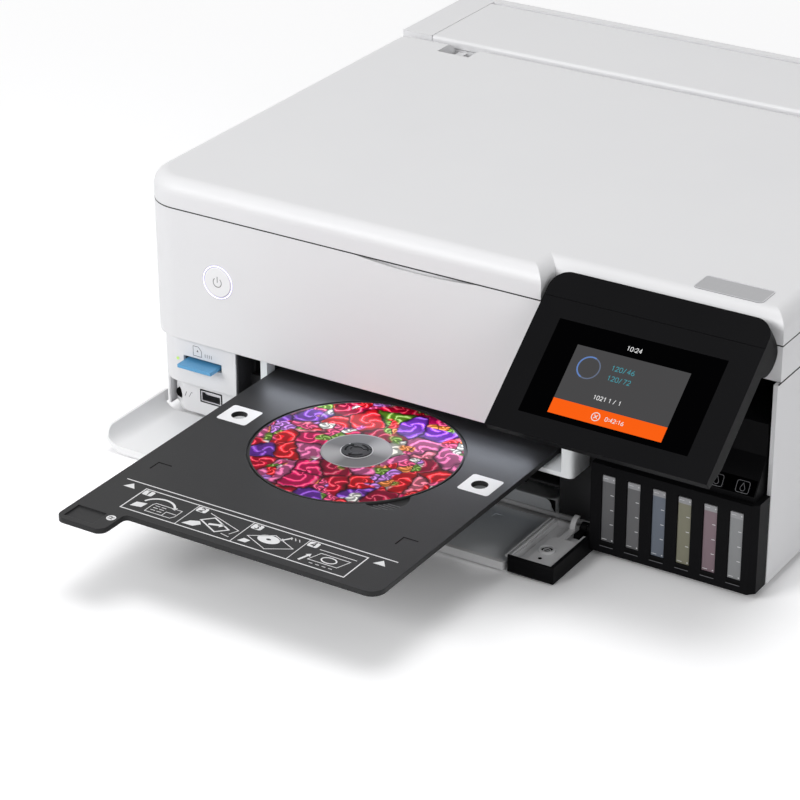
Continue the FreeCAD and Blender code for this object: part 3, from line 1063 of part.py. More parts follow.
def inner_units():
    """Capping station, maintenance box, main board and power supply on the floor of the casing."""
    centre = "carriage_left + carriage_width / 2"
    width = "(carriage_width + 2 * clearance)"
    block = box("capping_block", f"{centre} - {width} / 2", "cap_station_front", FLOOR_TOP, width,
                "cap_station_depth", "cap_station_height")
    cap_well = box("capping_well", "carriage_left + head_inset", "carriage_front + head_inset + 1",
                   f"{FLOOR_TOP} + cap_station_height - 3", "carriage_width - 2 * head_inset",
                   "head_depth - 2", "4")
    wiper = box("capping_wiper", f"{centre} - {width} / 2 + 2", "cap_station_front + 4",
                f"{FLOOR_TOP} + cap_station_height - 0.5", "1.2", "head_depth", "2")
    part("capping_station", fuse("capping_body", cut("capping_cut", block, cap_well), wiper))
    waste = box("waste_block", "waste_left", "waste_front", FLOOR_TOP, "waste_width", "waste_depth",
                "waste_height")
    grip = box("waste_grip", "waste_left + waste_width / 4", "waste_front - 1",
               f"{FLOOR_TOP} + waste_height / 2", "waste_width / 2", "6", "waste_height / 4")
    part("maintenance_box", cut("waste_body", waste, grip))
    board_x = "(wall + standoff)"
    board = box("board_sheet", board_x, "board_front", "board_bottom", "board_thick", "board_depth",
                "board_height")
    posts = [cylinder(f"board_post_{index}", "x", "wall", y, z, "standoff_radius", "standoff + 0.5")
             for index, (y, z) in enumerate((
                 ("board_front + 2 * standoff", "board_bottom + 2 * standoff"),
                 ("board_front + board_depth - 2 * standoff", "board_bottom + 2 * standoff"),
                 ("board_front + 2 * standoff", "board_bottom + board_height - 2 * standoff"),
                 ("board_front + board_depth - 2 * standoff", "board_bottom + board_height - 2 * standoff")))]
    chips = [box(f"board_chip_{index}", f"{board_x} + board_thick - overlap",
                 f"board_front + chip_size + {index} * 1.6 * chip_size", "board_bottom + 1.6 * chip_size",
                 "chip_thick", "chip_size", "chip_size")
             for index in range(3)]
    part("main_board", fuse("board_body", board, *posts, *chips))
    supply = box("supply_block", "supply_left", "supply_front", FLOOR_TOP, "supply_width", "supply_depth",
                 "supply_height")
    vents = [box(f"supply_vent_{index}", "supply_left + 8", f"supply_front + 16 + {index} * 12",
                 f"{FLOOR_TOP} + supply_height - 2", "supply_width - 16", "5", "3")
             for index in range(7)]
    part("power_supply", cut("supply_body", supply, *vents))


# ---------------------------------------------------------------- scanner unit

PANEL_AXIS_Y = "(panel_axis_in - tank_front)"
PANEL_AXIS_Z = "(panel_top - panel_axis_down)"


def front_fascia():
    """Wide front panel of the scanner unit, wrapped round the left corner of the casing."""
    right, depth = "notch_left", "fascia_wrap"
    outline = [("0", depth), ("0", "0"), (right, "0"), (right, depth)]
    height = f"{SCANNER_TOP} - fascia_bottom"
    outer = prism("fascia_outer", "xy", outline, "fascia_bottom", height)
    outer = rounded("fascia_corner", outer, "front_corner", upright((0, 0)))
    wall = "fascia_wall"
    inset = [(wall, f"{depth} + 1"), (wall, wall), (f"{right} - {wall}", wall),
             (f"{right} - {wall}", f"{depth} + 1")]
    inner = prism("fascia_inner", "xy", inset, f"fascia_bottom + {wall}", f"{height}")
    inner = rounded("fascia_inner_corner", inner, f"front_corner - {wall}",
                    upright((size.fascia_wall, size.fascia_wall)))
    below = box("fascia_below", wall, "fascia_flange", "fascia_bottom - 1", f"{right} - 2 * {wall}", depth,
                f"{wall} + 2")
    end_back = box("fascia_end_back", f"{right} - {wall} - 1", "notch_depth", "fascia_bottom - 1",
                   f"{wall} + 2", depth, f"{height} + 2")
    end_top = box("fascia_end_top", f"{right} - {wall} - 1", wall, f"{SCANNER_BOTTOM} - seam",
                  f"{wall} + 2", depth, height)
    hole = cylinder("fascia_button_hole", "y", "button_x", "-1", "button_z",
                    "button_radius + 3 * running + ring_width", f"{wall} + 2")
    half = "(scoop_right - scoop_left) / 2"
    radius = f"(({half})^2 + scoop_drop^2) / (2 * scoop_drop)"
    scoop = cylinder("fascia_scoop", "y", "(scoop_left + scoop_right) / 2", "-1",
                     f"{SCANNER_TOP} - scoop_drop + ({radius})", radius, "scoop_depth + 1")
    part("front_fascia", cut("fascia_body", outer, inner, below, end_back, end_top, hole, scoop))


def power_button():
    cap = cylinder("button_cap", "y", "button_x", "-button_proud", "button_z", "button_radius",
                   "button_length")
    cap = rounded("button_edge", cap, "button_round", every(lambda p: near(p.y, -size.button_proud)))
    ring = tube("button_bezel", "y", "button_x", "0", "button_z",
                "button_radius + 2 * running + ring_width", "button_radius + 2 * running", "ring_depth")
    part("power_button", cap)
    part("button_ring", ring)


def scanner_housing():
    """Upper housing that holds the flatbed scanner, hinged at the rear and carrying the panel."""
    front = "fascia_wall"
    outline = [
        ("0", "fascia_wrap"), (front, "fascia_wrap"), (front, front), ("notch_left", front),
        ("notch_left", "notch_depth"), ("body_width", "notch_depth"), ("body_width", "scanner_back"),
        ("0", "scanner_back"),
    ]
    outer = prism("scanner_outer", "xy", outline, SCANNER_BOTTOM, "scanner_height")
    outer = rounded("scanner_corner", outer, "front_corner", upright((size.fascia_wall, size.fascia_wall)))
    cavity = box("scanner_cavity", "wall", "fascia_wrap", f"{SCANNER_BOTTOM} + wall", "body_width - 2 * wall",
                 "scanner_back - fascia_wrap - hinge_drop - wall", "scanner_height - 2 * wall")
    window = box("scanner_window", "pane_left + pane_frame", "pane_front + pane_frame",
                 f"{SCANNER_TOP} - 2 * wall", "pane_length - 2 * pane_frame",
                 "pane_depth - 2 * pane_frame", "4 * wall")
    rebate = box("scanner_rebate", "pane_left", "pane_front", f"{SCANNER_TOP} - glass_pane_thick",
                 "pane_length", "pane_depth", "glass_pane_thick + 1")
    trough = cylinder("scanner_trough", "x", "-1", "hinge_y", HINGE_Z, "hinge_drop + clearance",
                      "body_width + 2")
    shell = cut("scanner_shell", outer, cavity, window, rebate, trough)
    ears = []
    for side, centre in (("left", "hinge_inset"), ("right", "body_width - hinge_inset")):
        start = f"{centre} - ear_width / 2"
        eye = cylinder(f"scan_{side}_eye", "x", start, "hinge_y", HINGE_Z, "hinge_knuckle", "ear_width")
        web = box(f"scan_{side}_web", start, "hinge_y - hinge_knuckle",
                  f"{SCANNER_TOP} - hinge_knuckle * 1.4",
                  "ear_width", "scanner_back - hinge_y + hinge_knuckle",
                  f"{HINGE_Z} - {SCANNER_TOP} + hinge_knuckle * 1.4")
        pin = cylinder(f"scan_{side}_pin", "x", f"{centre} - hinge_pin_length / 2", "hinge_y", HINGE_Z,
                       "hinge_pin", "hinge_pin_length")
        ears += [eye, web, pin]
    arms = []
    for index, start in enumerate(panel_slots()):
        left = f"{start} + (slot_width - bracket_width) / 2"
        knuckle = cylinder(f"panel_knuckle_{index}", "x", left, PANEL_AXIS_Y, PANEL_AXIS_Z,
                           "bracket_knuckle", "bracket_width")
        arm = box(f"panel_arm_{index}", left, PANEL_AXIS_Y, f"{PANEL_AXIS_Z} - bracket_knuckle",
                  "bracket_width", f"notch_depth + 1 - {PANEL_AXIS_Y}",
                  f"bracket_knuckle - ({PANEL_AXIS_Z} - {SCANNER_TOP})")
        bore = cylinder(f"panel_bore_{index}", "x", f"{left} - 1", PANEL_AXIS_Y, PANEL_AXIS_Z,
                        "panel_pin + running", "bracket_width + 2")
        arms.append(cut(f"panel_bracket_{index}", fuse(f"panel_bracket_solid_{index}", knuckle, arm), bore))
    part("scanner_housing", fuse("scanner_body", shell, *ears, *arms))


def platen_glass():
    pane = box("glass_pane", "pane_left", "pane_front", f"{SCANNER_TOP} - glass_pane_thick", "pane_length",
               "pane_depth", "glass_pane_thick")
    part("platen_glass", pane)


def scan_carriage():
    """Scanning bar that travels under the glass, with its lamp slot on top."""
    bar = box("scan_bar", "pane_left + 2", "pane_front + 2", f"{SCANNER_BOTTOM} + wall + clearance",
              "scan_bar_width", "pane_depth - 2 * scan_end", "scan_bar_height")
    slot = box("scan_slot", "pane_left + 2 + scan_bar_width / 3", "pane_front + 6",
               f"{SCANNER_BOTTOM} + wall + clearance + scan_bar_height - 2", "scan_bar_width / 3",
               "pane_depth - 12", "3")
    part("scan_carriage", cut("scan_bar_body", bar, slot))


# ---------------------------------------------------------------- document cover

def document_cover():
    """Lid over the glass: rounded outer edges, ribbed underside and a rolled hinge edge at the back."""
    outline = [
        ("0", "0"), ("notch_left", "0"), ("notch_left", "notch_depth"), ("body_width", "notch_depth"),
        ("body_width", "lid_depth"), ("0", "lid_depth"),
    ]
    plate = prism("lid_plate", "xy", outline, LID_BOTTOM, "lid_height")
    plate = rounded("lid_front_corner", plate, "front_corner", upright((0, 0)))
    plate = rounded("lid_back_edge", plate, "lid_round",
                    every(lambda p: near(p.y, size.lid_depth) and near(p.z, size.body_height)))
    plate = rounded("lid_top_edges", plate, "lid_side_round", every(lid_top_edge))
    under = cut("lid_under_cut",
                box("lid_under_block", "-1", "hinge_y", f"{LID_BOTTOM} - 1", "body_width + 2",
                    "lid_round + 1",
                    f"{HINGE_Z} - {LID_BOTTOM} + 1"),
                cylinder("lid_under_round", "x", "-2", "hinge_y", HINGE_Z, "lid_round", "body_width + 4"))
    mat = box("lid_mat_recess", "mat_left", "mat_front", f"{LID_BOTTOM} - 1", "mat_length", "mat_depth",
              "mat_thick + 1")
    pitch_x = "(mat_length - 2 * rib_thick) / 4"
    pitch_y = "(mat_depth - 2 * rib_thick) / 3"
    pockets = [box(f"lid_pocket_{column}_{row}", f"mat_left + 2 * rib_thick + {column} * {pitch_x}",
                   f"mat_front + 2 * rib_thick + {row} * {pitch_y}", f"{LID_BOTTOM} + mat_thick - 1",
                   f"{pitch_x} - 2 * rib_thick", f"{pitch_y} - 2 * rib_thick",
                   "lid_height - mat_thick - lid_wall + 1")
               for column in range(4) for row in range(3)]
    tools = [under, mat, *pockets]
    for side, centre in (("left", "hinge_inset"), ("right", "body_width - hinge_inset")):
        tools.append(box(f"lid_notch_{side}", f"{centre} - hinge_notch / 2", "hinge_y - hinge_drop - 1.5",
                         f"{LID_BOTTOM} - 1", "hinge_notch", "2 * hinge_drop + 3", "lid_height + 2"))
        tools.append(cylinder(f"lid_bore_{side}", "x", f"{centre} - hinge_pin_length / 2 - 0.5", "hinge_y",
                              HINGE_Z, "hinge_pin + running", "hinge_pin_length + 1"))
    part("document_cover", cut("lid_body", plate, *tools))


def lid_top_edge(point):
    """True for points on the lid's upper outline, apart from its rounded back edge."""
    return near(point.z, size.body_height) and point.y < size.lid_depth - size.lid_round + size.overlap


def document_mat():
    """White pad that presses a page on the glass."""
    part("document_mat", box("mat_pad", "mat_left + clearance", "mat_front + clearance", LID_BOTTOM,
                             "mat_length - 2 * clearance", "mat_depth - 2 * clearance", "mat_thick"))


# ---------------------------------------------------------------- control panel

def panel_slots():
    """Left sides of the two slots in the panel's back edge, where the housing's arms reach in."""
    return ("panel_left + slot_inset", "panel_left + panel_width - slot_inset - slot_width")


def tilted(name, item):
    """Turn a solid drawn about the panel's hinge axis to the panel's working angle."""
    turned = document.addObject("Part::Compound", name)
    turned.Links = [item]
    turned.Placement = FreeCAD.Placement(Vector(), FreeCAD.Rotation(Vector(-1, 0, 0), size.panel_tilt))
    place(turned, "0", PANEL_AXIS_Y, PANEL_AXIS_Z)
    bind(turned, "Placement.Rotation.Angle", "panel_tilt")
    return turned


def panel_face():
    """Height, measured from the hinge axis, of the panel's foot."""
    return "(panel_axis_down - panel_length)"


def panel_housing():
    """Tilting shell of the control panel: thin foot, full middle and a round nose on the hinge axis."""
    face, foot, top = "-panel_axis_in", panel_face(), "panel_axis_down"
    back = "(panel_thick - panel_axis_in)"
    nose_y = "panel_nose * cos(panel_tilt * 1deg)"
    nose_z = "panel_nose * sin(panel_tilt * 1deg)"
    section = [
        (face, foot), ("panel_foot_thick - panel_axis_in", foot), (back, f"{foot} + panel_foot_rise"),
        (back, "0"), (nose_y, nose_z), ("0", top), (face, top),
    ]
    slab = prism("panel_slab", "yz", section, "panel_left", "panel_width")
    nose = cylinder("panel_nose_round", "x", "panel_left", "0", "0", "panel_nose", "panel_width")
    plan = [("panel_left", foot), ("panel_left + panel_width", foot), ("panel_left + panel_width", top),
            ("panel_left", top)]
    frame = prism("panel_plan", "xz", plan, "-2 * panel_nose", "4 * panel_nose")
    frame = rounded("panel_top_corners", frame, "panel_corner",
                    every(lambda p: near(p.z, size.panel_axis_down)))
    front_cut = box("panel_front_cut", "panel_left - 1", "-2 * panel_nose", "-2 * panel_nose",
                    "panel_width + 2", "2 * panel_nose - panel_axis_in", "4 * panel_nose")
    body = common("panel_rounded", fuse("panel_solid", slab, cut("panel_nose_cut", nose, front_cut)), frame)
    recess = box("panel_recess", "panel_left + glass_left", f"{face} - 1", f"{foot} + glass_bottom",
                 "glass_width", "glass_thick + 1", "glass_height")
    groove = box("panel_groove", "panel_left - 1", f"{face} - 1", f"{top} - panel_groove_down",
                 "panel_width + 2", "groove_depth + 1", "groove_depth")
    slots, pins = [], []
    for index, start in enumerate(panel_slots()):
        slots.append(box(f"panel_slot_{index}", start, "-bracket_knuckle - clearance",
                         "-bracket_knuckle - 2 * clearance", "slot_width",
                         "panel_nose + bracket_knuckle + 2", "panel_nose + bracket_knuckle + 6"))
        pins.append(cylinder(f"panel_hinge_pin_{index}", "x", f"{start} - 1", "0", "0", "panel_pin",
                             "slot_width + 2"))
    shell = cut("panel_shell", body, recess, groove, *slots)
    part("panel_housing", tilted("panel_pose", fuse("panel_body", shell, *pins)))


def panel_glass():
    """Glossy plate over the display and touch keys."""
    plate = box("glass_plate", "panel_left + glass_left", "-panel_axis_in", f"{panel_face()} + glass_bottom",
                "glass_width", "glass_thick", "glass_height")
    part("panel_glass", tilted("glass_pose", plate))


# ---------------------------------------------------------------- build, check and write

def report_faults():
    """Names of document objects that failed and of sub-parts whose shape is unusable."""
    faults = [item.Name for item in document.Objects
              if "Invalid" in item.State or "Error" in item.State]
    faults += [name for name, item in nodes.items() if item.Shape.isNull() or not item.Shape.isValid()]
    return faults


for build in (
        base_housing, rear_housing, rear_feed_cover, rear_feed_chute, rubber_feet, power_inlet, data_ports,
        card_panel, card_reader, memory_card, port_panel, usb_port, inner_frame, disc_guides, side_plates,
        tank_front_cover, ink_tanks, tank_caps, tank_cover, front_flap, flap_liner, flap_end_cap,
        flap_end_tray, paper_cassette, photo_cassette, output_tray, disc_tray, disc, disc_hub, guide_rail,
        print_carriage, carriage_drive, platen, star_wheels, inner_units, front_fascia, power_button,
        scanner_housing, platen_glass, scan_carriage, document_cover, document_mat, panel_housing,
        panel_glass):
    build()
roller("feed_roller", "feed_y", FEED_Z, "feed_radius", "feed_shaft")
roller("eject_roller", "eject_y", EJECT_Z, "eject_radius", "eject_shaft")

document.recompute()
problems = report_faults()
if problems:
    raise SystemExit("failed: " + ", ".join(problems))
os.makedirs("parts", exist_ok=True)
for node_name, node in nodes.items():
    node.Shape.exportStep(f"parts/{node_name}.step")
print(f"{len(nodes)} sub-parts written")
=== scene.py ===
"""Looks of the disc label printer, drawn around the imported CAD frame.

Places are written in the printer's own millimetres: X from its left side to its right, Y from its
front face to its back, Z up from the floor. at() turns them into the frame's metres.
"""

import math

import bmesh
import bpy
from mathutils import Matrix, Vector


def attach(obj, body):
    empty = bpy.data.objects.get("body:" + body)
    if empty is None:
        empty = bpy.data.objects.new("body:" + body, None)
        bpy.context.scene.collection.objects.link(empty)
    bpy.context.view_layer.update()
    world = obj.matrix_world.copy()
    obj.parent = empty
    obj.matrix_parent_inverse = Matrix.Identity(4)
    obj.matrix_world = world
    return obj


MM = 0.001
MIDDLE = Vector((201.5, 93.0, 0.0))

# camera at the photograph's viewing angle
CAMERA_PLACE = (0.747737, -1.312814, 0.783780)
CAMERA_TURN = (63.4150, 0.2212, 32.1600)
CAMERA_LENS = 129.04
CAMERA_SENSOR = 36.0
CAMERA_REACH = 40.0

# casing, in millimetres
BODY_WIDTH = 403.0
FASCIA_FACE = 0.0
CARD_FACE = 6.0
PORT_FACE = 14.0
WAIST = 123.0
LID_FOOT = 144.3
LID_TOP = 162.0
LID_BACK = 288.0
LID_CORNER = 24.0
NOTCH_LEFT = 268.3
NOTCH_DEPTH = 16.2

# power button
BUTTON_FACE = -0.4
BUTTON_X = 55.0
BUTTON_Z = 105.0

# disc tray, disc and hub
TRAY_TOP = 47.8
DISC_TOP = 47.7
HUB_TOP = 48.4
DISC_X = 176.9
DISC_Y = -41.9
DISC_RADIUS = 60.0
DISC_RIM = 0.8
WELL_RADIUS = 61.6
CLEAR_RADIUS = 19.6
CLEAR_LIP = 0.5

# tilted control panel
PANEL_AXIS_Y = 3.1
PANEL_AXIS_Z = 145.0
PANEL_TILT = math.radians(50.6)
PANEL_FACE_IN = 6.3
PANEL_FOOT = -80.0

# ink tank unit
TANK_COUNT = 6
TANK_FRONT = -3.2
TANK_NOSE = -2.4
TANK_FOOT = 12.0
INK_LEVEL = 48.4
WINDOW_FIRST = 310.1
WINDOW_PITCH = 15.33
WINDOW_OPEN = 8.2
SLOPE_FOOT = (0.6, 61.4)
SLOPE_TOP = (12.8, 80.9)

# how far thin pieces stand out of the face that carries them, and how far they reach into it
FILM_LIFT = 0.05
PRINT_LIFT = 0.06
MARK_LIFT = 0.08
TRIM_LIFT = 0.12
SUNK = -0.1

# fineness of outlines and surfaces
ROUND_STEPS = 96
HALVINGS = 30
LEAST_MITRE = 0.3
PATCH_SCALE = 14.0
ROUGHNESS_DRIFT = 0.05
BUMP_DEPTH = 0.0002

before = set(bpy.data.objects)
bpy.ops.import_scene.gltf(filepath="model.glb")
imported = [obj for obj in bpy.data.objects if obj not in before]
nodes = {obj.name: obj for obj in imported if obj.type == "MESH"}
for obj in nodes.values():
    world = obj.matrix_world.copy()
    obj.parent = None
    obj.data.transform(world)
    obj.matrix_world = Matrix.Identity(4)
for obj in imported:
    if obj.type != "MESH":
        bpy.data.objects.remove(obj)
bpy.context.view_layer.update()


# -------------------- places

def at(x, y, z):
    """A place in the printer's millimetres as a point of the frame, in metres."""
    return (Vector((x, y, z)) - MIDDLE) * MM


def top_plane(level):
    """Maps x, y and a height above a level face that looks up."""
    return lambda u, v, height: at(u, v, level + height)


def front_plane(face):
    """Maps x, z and a height out of an upright face that looks forward."""
    return lambda u, v, height: at(u, face - height, v)


def panel_plane(u, v, height):
    """Maps x, the way up from the foot and a height out of the tilted control panel's face."""
    out, up = -PANEL_FACE_IN - height, PANEL_FOOT + v
    turn_cos, turn_sin = math.cos(PANEL_TILT), math.sin(PANEL_TILT)
    return at(u, PANEL_AXIS_Y + out * turn_cos + up * turn_sin,
              PANEL_AXIS_Z - out * turn_sin + up * turn_cos)


def slope_plane(u, v, height):
    """Maps x, the way up the tank cover's slope from its lower edge and a height out of it."""
    rise = Vector((SLOPE_TOP[0] - SLOPE_FOOT[0], SLOPE_TOP[1] - SLOPE_FOOT[1])).normalized()
    y = SLOPE_FOOT[0] + rise.x * v - rise.y * height
    z = SLOPE_FOOT[1] + rise.y * v + rise.x * height
    return at(u, y, z)


# -------------------- flat shapes

def arc(u, v, radius, start=0.0, end=360.0, steps=48, squash=1.0):
    """Points along an arc; a whole circle doesn't repeat its first point."""
    whole = abs(end - start) >= 360.0
    count = steps if whole else steps + 1
    angles = [math.radians(start + (end - start) * i / steps) for i in range(count)]
    return [(u + radius * math.cos(a), v + radius * squash * math.sin(a)) for a in angles]


def rounded_box(left, right, low, high, radius, steps=6):
    corners = ((right - radius, high - radius, 0), (left + radius, high - radius, 90),
               (left + radius, low + radius, 180), (right - radius, low + radius, 270))
    points = []
    for u, v, start in corners:
        points += arc(u, v, radius, start, start + 90, steps)
    return points


def rectangle(left, right, low, high):
    return [(left, low), (right, low), (right, high), (left, high)]


def fill(points):
    """A filled outline, as one polygon."""
    return [points]


def band(points, width, closed=False):
    """A line of one width through the points, as quads."""
    count = len(points)
    edges = []
    for i, point in enumerate(points):
        before = points[i - 1] if closed or i > 0 else None
        after = points[(i + 1) % count] if closed or i < count - 1 else None
        here = Vector(point)
        ways = []
        if before is not None:
            ways.append((here - Vector(before)).normalized())
        if after is not None:
            ways.append((Vector(after) - here).normalized())
        way = sum(ways, Vector((0, 0))).normalized()
        side = Vector((-way.y, way.x))
        mitre = max(LEAST_MITRE, side.dot(Vector((-ways[-1].y, ways[-1].x))))
        reach = side * width / (2 * mitre)
        edges.append((tuple(here + reach), tuple(here - reach)))
    quads = []
    for i in range(count if closed else count - 1):
        left, right = edges[i], edges[(i + 1) % count]
        quads.append([left[1], right[1], right[0], left[0]])
    return quads


def ring_between(outer, inner):
    """The area between two outlines with the same number of points."""
    count = len(outer)
    return [[outer[i], outer[(i + 1) % count], inner[(i + 1) % count], inner[i]] for i in range(count)]


def round_ring(u, v, outer, inner, steps=64):
    return ring_between(arc(u, v, outer, steps=steps), arc(u, v, inner, steps=steps))


def matched_box(left, right, low, high, radius, middle, steps=ROUND_STEPS):
    """A rounded box's outline as points at even angles about a middle point, starting along +u."""
    points = []
    core_u = (right - left) / 2 - radius
    core_v = (high - low) / 2 - radius
    centre_u, centre_v = (left + right) / 2, (low + high) / 2
    for i in range(steps):
        way = Vector((math.cos(math.tau * i / steps), math.sin(math.tau * i / steps)))
        near_end, far_end = 0.0, 2 * max(right - left, high - low)
        for _ in range(HALVINGS):
            middle_reach = (near_end + far_end) / 2
            u = abs(middle[0] + way.x * middle_reach - centre_u) - core_u
            v = abs(middle[1] + way.y * middle_reach - centre_v) - core_v
            inside = math.hypot(max(u, 0), max(v, 0)) + min(max(u, v), 0) < radius
            near_end, far_end = (middle_reach, far_end) if inside else (near_end, middle_reach)
        points.append((middle[0] + way.x * near_end, middle[1] + way.y * near_end))
    return points


def piece(name, plane, shapes, low, high, finish, body):
    """A thin solid made of flat shapes, from height low to height high over its plane."""
    sheet = bmesh.new()
    corners = {}

    def corner(point, height):
        key = (round(point[0], 4), round(point[1], 4), height)
        if key not in corners:
            corners[key] = sheet.verts.new(plane(point[0], point[1], height))
        return corners[key]

    for shape in shapes:
        corners.clear()
        rim = {}
        for polygon in shape:
            polygon = [(round(u, 4), round(v, 4)) for u, v in polygon]
            sheet.faces.new([corner(p, high) for p in polygon])
            sheet.faces.new([corner(p, low) for p in reversed(polygon)])
            for a, b in zip(polygon, polygon[1:] + polygon[:1]):
                if (b, a) in rim:
                    del rim[(b, a)]
                else:
                    rim[(a, b)] = True
        for a, b in rim:
            sheet.faces.new((corner(a, low), corner(b, low), corner(b, high), corner(a, high)))
    bmesh.ops.recalc_face_normals(sheet, faces=sheet.faces)
    mesh = bpy.data.meshes.new(name)
    sheet.to_mesh(mesh)
    sheet.free()
    mesh.materials.append(finish)
    made = bpy.data.objects.new(name, mesh)
    bpy.context.scene.collection.objects.link(made)
    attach(made, body)


# -------------------- materials

def add_node(tree, kind, inputs=None, **settings):
    """A node with its settings, and with its inputs linked or set by name or number."""
    node = tree.nodes.new(kind)
    for name, value in settings.items():
        setattr(node, name, value)
    for name, value in (inputs or {}).items():
        if isinstance(value, bpy.types.NodeSocket):
            tree.links.new(value, node.inputs[name])
        else:
            node.inputs[name].default_value = value
    return node


def object_place(tree):
    """The place on the piece, in the frame's metres."""
    return add_node(tree, "ShaderNodeTexCoord").outputs["Object"]


def shader_graph(name, sockets):
    """A node material with numbers set straight on its shader."""
    material = bpy.data.materials.new(name)
    material.use_nodes = True
    tree = material.node_tree
    shader = tree.nodes["Principled BSDF"]
    for socket, value in sockets.items():
        shader.inputs[socket].default_value = value
    return material, tree, shader


def blend(tree, factor, first, second):
    """The colour between two, as an output socket."""
    return add_node(tree, "ShaderNodeMix", {0: factor, 6: first, 7: second}, data_type="RGBA").outputs[2]


def maths(tree, operation, first, second=0.0):
    return add_node(tree, "ShaderNodeMath", {0: first, 1: second}, operation=operation).outputs[0]


def vector_maths(tree, operation, first, second):
    return add_node(tree, "ShaderNodeVectorMath", {0: first, 1: second}, operation=operation).outputs[0]


def scaled_by(tree, vector, scale):
    return add_node(tree, "ShaderNodeVectorMath", {0: vector, "Scale": scale}, operation="SCALE").outputs[0]


def length_of(tree, vector):
    return add_node(tree, "ShaderNodeVectorMath", {0: vector}, operation="LENGTH").outputs["Value"]


def noise(tree, place, scale, detail=2.0):
    """Soft random patches, from 0 to 1."""
    return add_node(tree, "ShaderNodeTexNoise",
                    {"Vector": place, "Scale": scale, "Detail": detail}).outputs["Fac"]


def spread(tree, value, low, high, start=0.0, end=1.0):
    """Stretches a value that runs from start to end, so that it runs from low to high."""
    return add_node(tree, "ShaderNodeMapRange", {
        "Value": value, "From Min": start, "From Max": end, "To Min": low, "To Max": high}).outputs[0]


def rgba(red, green, blue):
    return (red, green, blue, 1.0)


def surface_detail(tree, shader, place, roughness, grain, grain_scale, edge):
    """Fine moulded grain, softened edges and patchy roughness; returns the patches, from 0 to 1."""
    cloud = noise(tree, place, PATCH_SCALE, 3.0)
    uneven = spread(tree, cloud, roughness - ROUGHNESS_DRIFT, roughness + ROUGHNESS_DRIFT)
    tree.links.new(uneven, shader.inputs["Roughness"])
    fine = noise(tree, place, grain_scale)
    soft = add_node(tree, "ShaderNodeBevel", {"Radius": edge * MM}, samples=4)
    bump = add_node(tree, "ShaderNodeBump", {
        "Height": fine, "Strength": grain, "Distance": BUMP_DEPTH,
        "Normal": soft.outputs["Normal"]})
    tree.links.new(bump.outputs["Normal"], shader.inputs["Normal"])
    return cloud


def plastic(name, pale, dark, roughness, grain=0.12, grain_scale=2400.0, edge=0.5, **sockets):
    """Moulded plastic whose colour drifts between two close tones."""
    material, tree, shader = shader_graph(name, {k.replace("_", " "): v for k, v in sockets.items()})
    place = object_place(tree)
    cloud = surface_detail(tree, shader, place, roughness, grain, grain_scale, edge)
    tree.links.new(blend(tree, cloud, rgba(*dark), rgba(*pale)), shader.inputs["Base Color"])
    return material


def brushed_metal(name, pale, dark, roughness, stretch=(1.0, 40.0, 40.0)):
    """Metal with fine drawn lines along X."""
    material, tree, shader = shader_graph(name, {"Metallic": 1.0})
    place = object_place(tree)
    drawn = add_node(tree, "ShaderNodeMapping", {"Vector": place, "Scale": stretch})
    lines = noise(tree, drawn.outputs["Vector"], 90.0, 4.0)
    tree.links.new(blend(tree, lines, rgba(*dark), rgba(*pale)), shader.inputs["Base Color"])
    tree.links.new(spread(tree, lines, roughness - 0.08, roughness + 0.08),
                   shader.inputs["Roughness"])
    bump = add_node(tree, "ShaderNodeBump",
                    {"Height": lines, "Strength": 0.1, "Distance": BUMP_DEPTH})
    tree.links.new(bump.outputs["Normal"], shader.inputs["Normal"])
    return material


def ink_tank(name, tint):
    """Frosted tank shell: plain grey above the ink level, tinted by the ink below it."""
    material, tree, shader = shader_graph(name, {"Coat Weight": 0.15, "Coat Roughness": 0.25})
    place = object_place(tree)
    cloud = surface_detail(tree, shader, place, 0.4, 0.06, 1800.0, 0.3)
    height = add_node(tree, "ShaderNodeSeparateXYZ", {0: place}).outputs["Z"]
    above = maths(tree, "GREATER_THAN", height, INK_LEVEL * MM)
    depth = spread(tree, height, 0.25, 0.0, TANK_FOOT * MM, INK_LEVEL * MM)
    deep = tuple(0.8 * part for part in tint)
    ink = blend(tree, depth, rgba(*tint), rgba(*deep))
    shell = blend(tree, cloud, rgba(0.22, 0.22, 0.23), rgba(0.30, 0.30, 0.31))
    tree.links.new(blend(tree, above, ink, shell), shader.inputs["Base Color"])
    return material


def display_ink(name, colour, strength=1.0):
    """A lit part of the screen, with its fine pixel rows."""
    material, tree, shader = shader_graph(name, {
        "Base Color": rgba(0.004, 0.004, 0.004), "Roughness": 0.3, "Emission Strength": strength,
        "Specular IOR Level": 0.02})
    place = object_place(tree)
    rows = add_node(tree, "ShaderNodeTexWave", {"Vector": place, "Scale": 900.0},
                    wave_type="BANDS", bands_direction="X")
    dim = tuple(0.9 * part for part in colour)
    tree.links.new(blend(tree, rows.outputs["Fac"], rgba(*dim), rgba(*colour)),
                   shader.inputs["Emission Color"])
    return material


def glow(name, core, rim, strength):
    """A lit ring or symbol whose light drifts softly along it."""
    material, tree, shader = shader_graph(name, {"Emission Strength": strength, "Roughness": 0.35})
    place = object_place(tree)
    tone = blend(tree, noise(tree, place, 60.0), rgba(*rim), rgba(*core))
    tree.links.new(tone, shader.inputs["Emission Color"])
    tree.links.new(tone, shader.inputs["Base Color"])
    return material


def ramp(tree, value, stops, interpolation="LINEAR"):
    """A colour band; stops are (place, colour)."""
    node = add_node(tree, "ShaderNodeValToRGB", {"Fac": value})
    node.color_ramp.interpolation = interpolation
    elements = node.color_ramp.elements
    while len(elements) > 1:
        elements.remove(elements[-1])
    elements[0].position, elements[0].color = stops[0][0], rgba(*stops[0][1])
    for position, colour in stops[1:]:
        elements.new(position).color = rgba(*colour)
    return node.outputs["Color"]


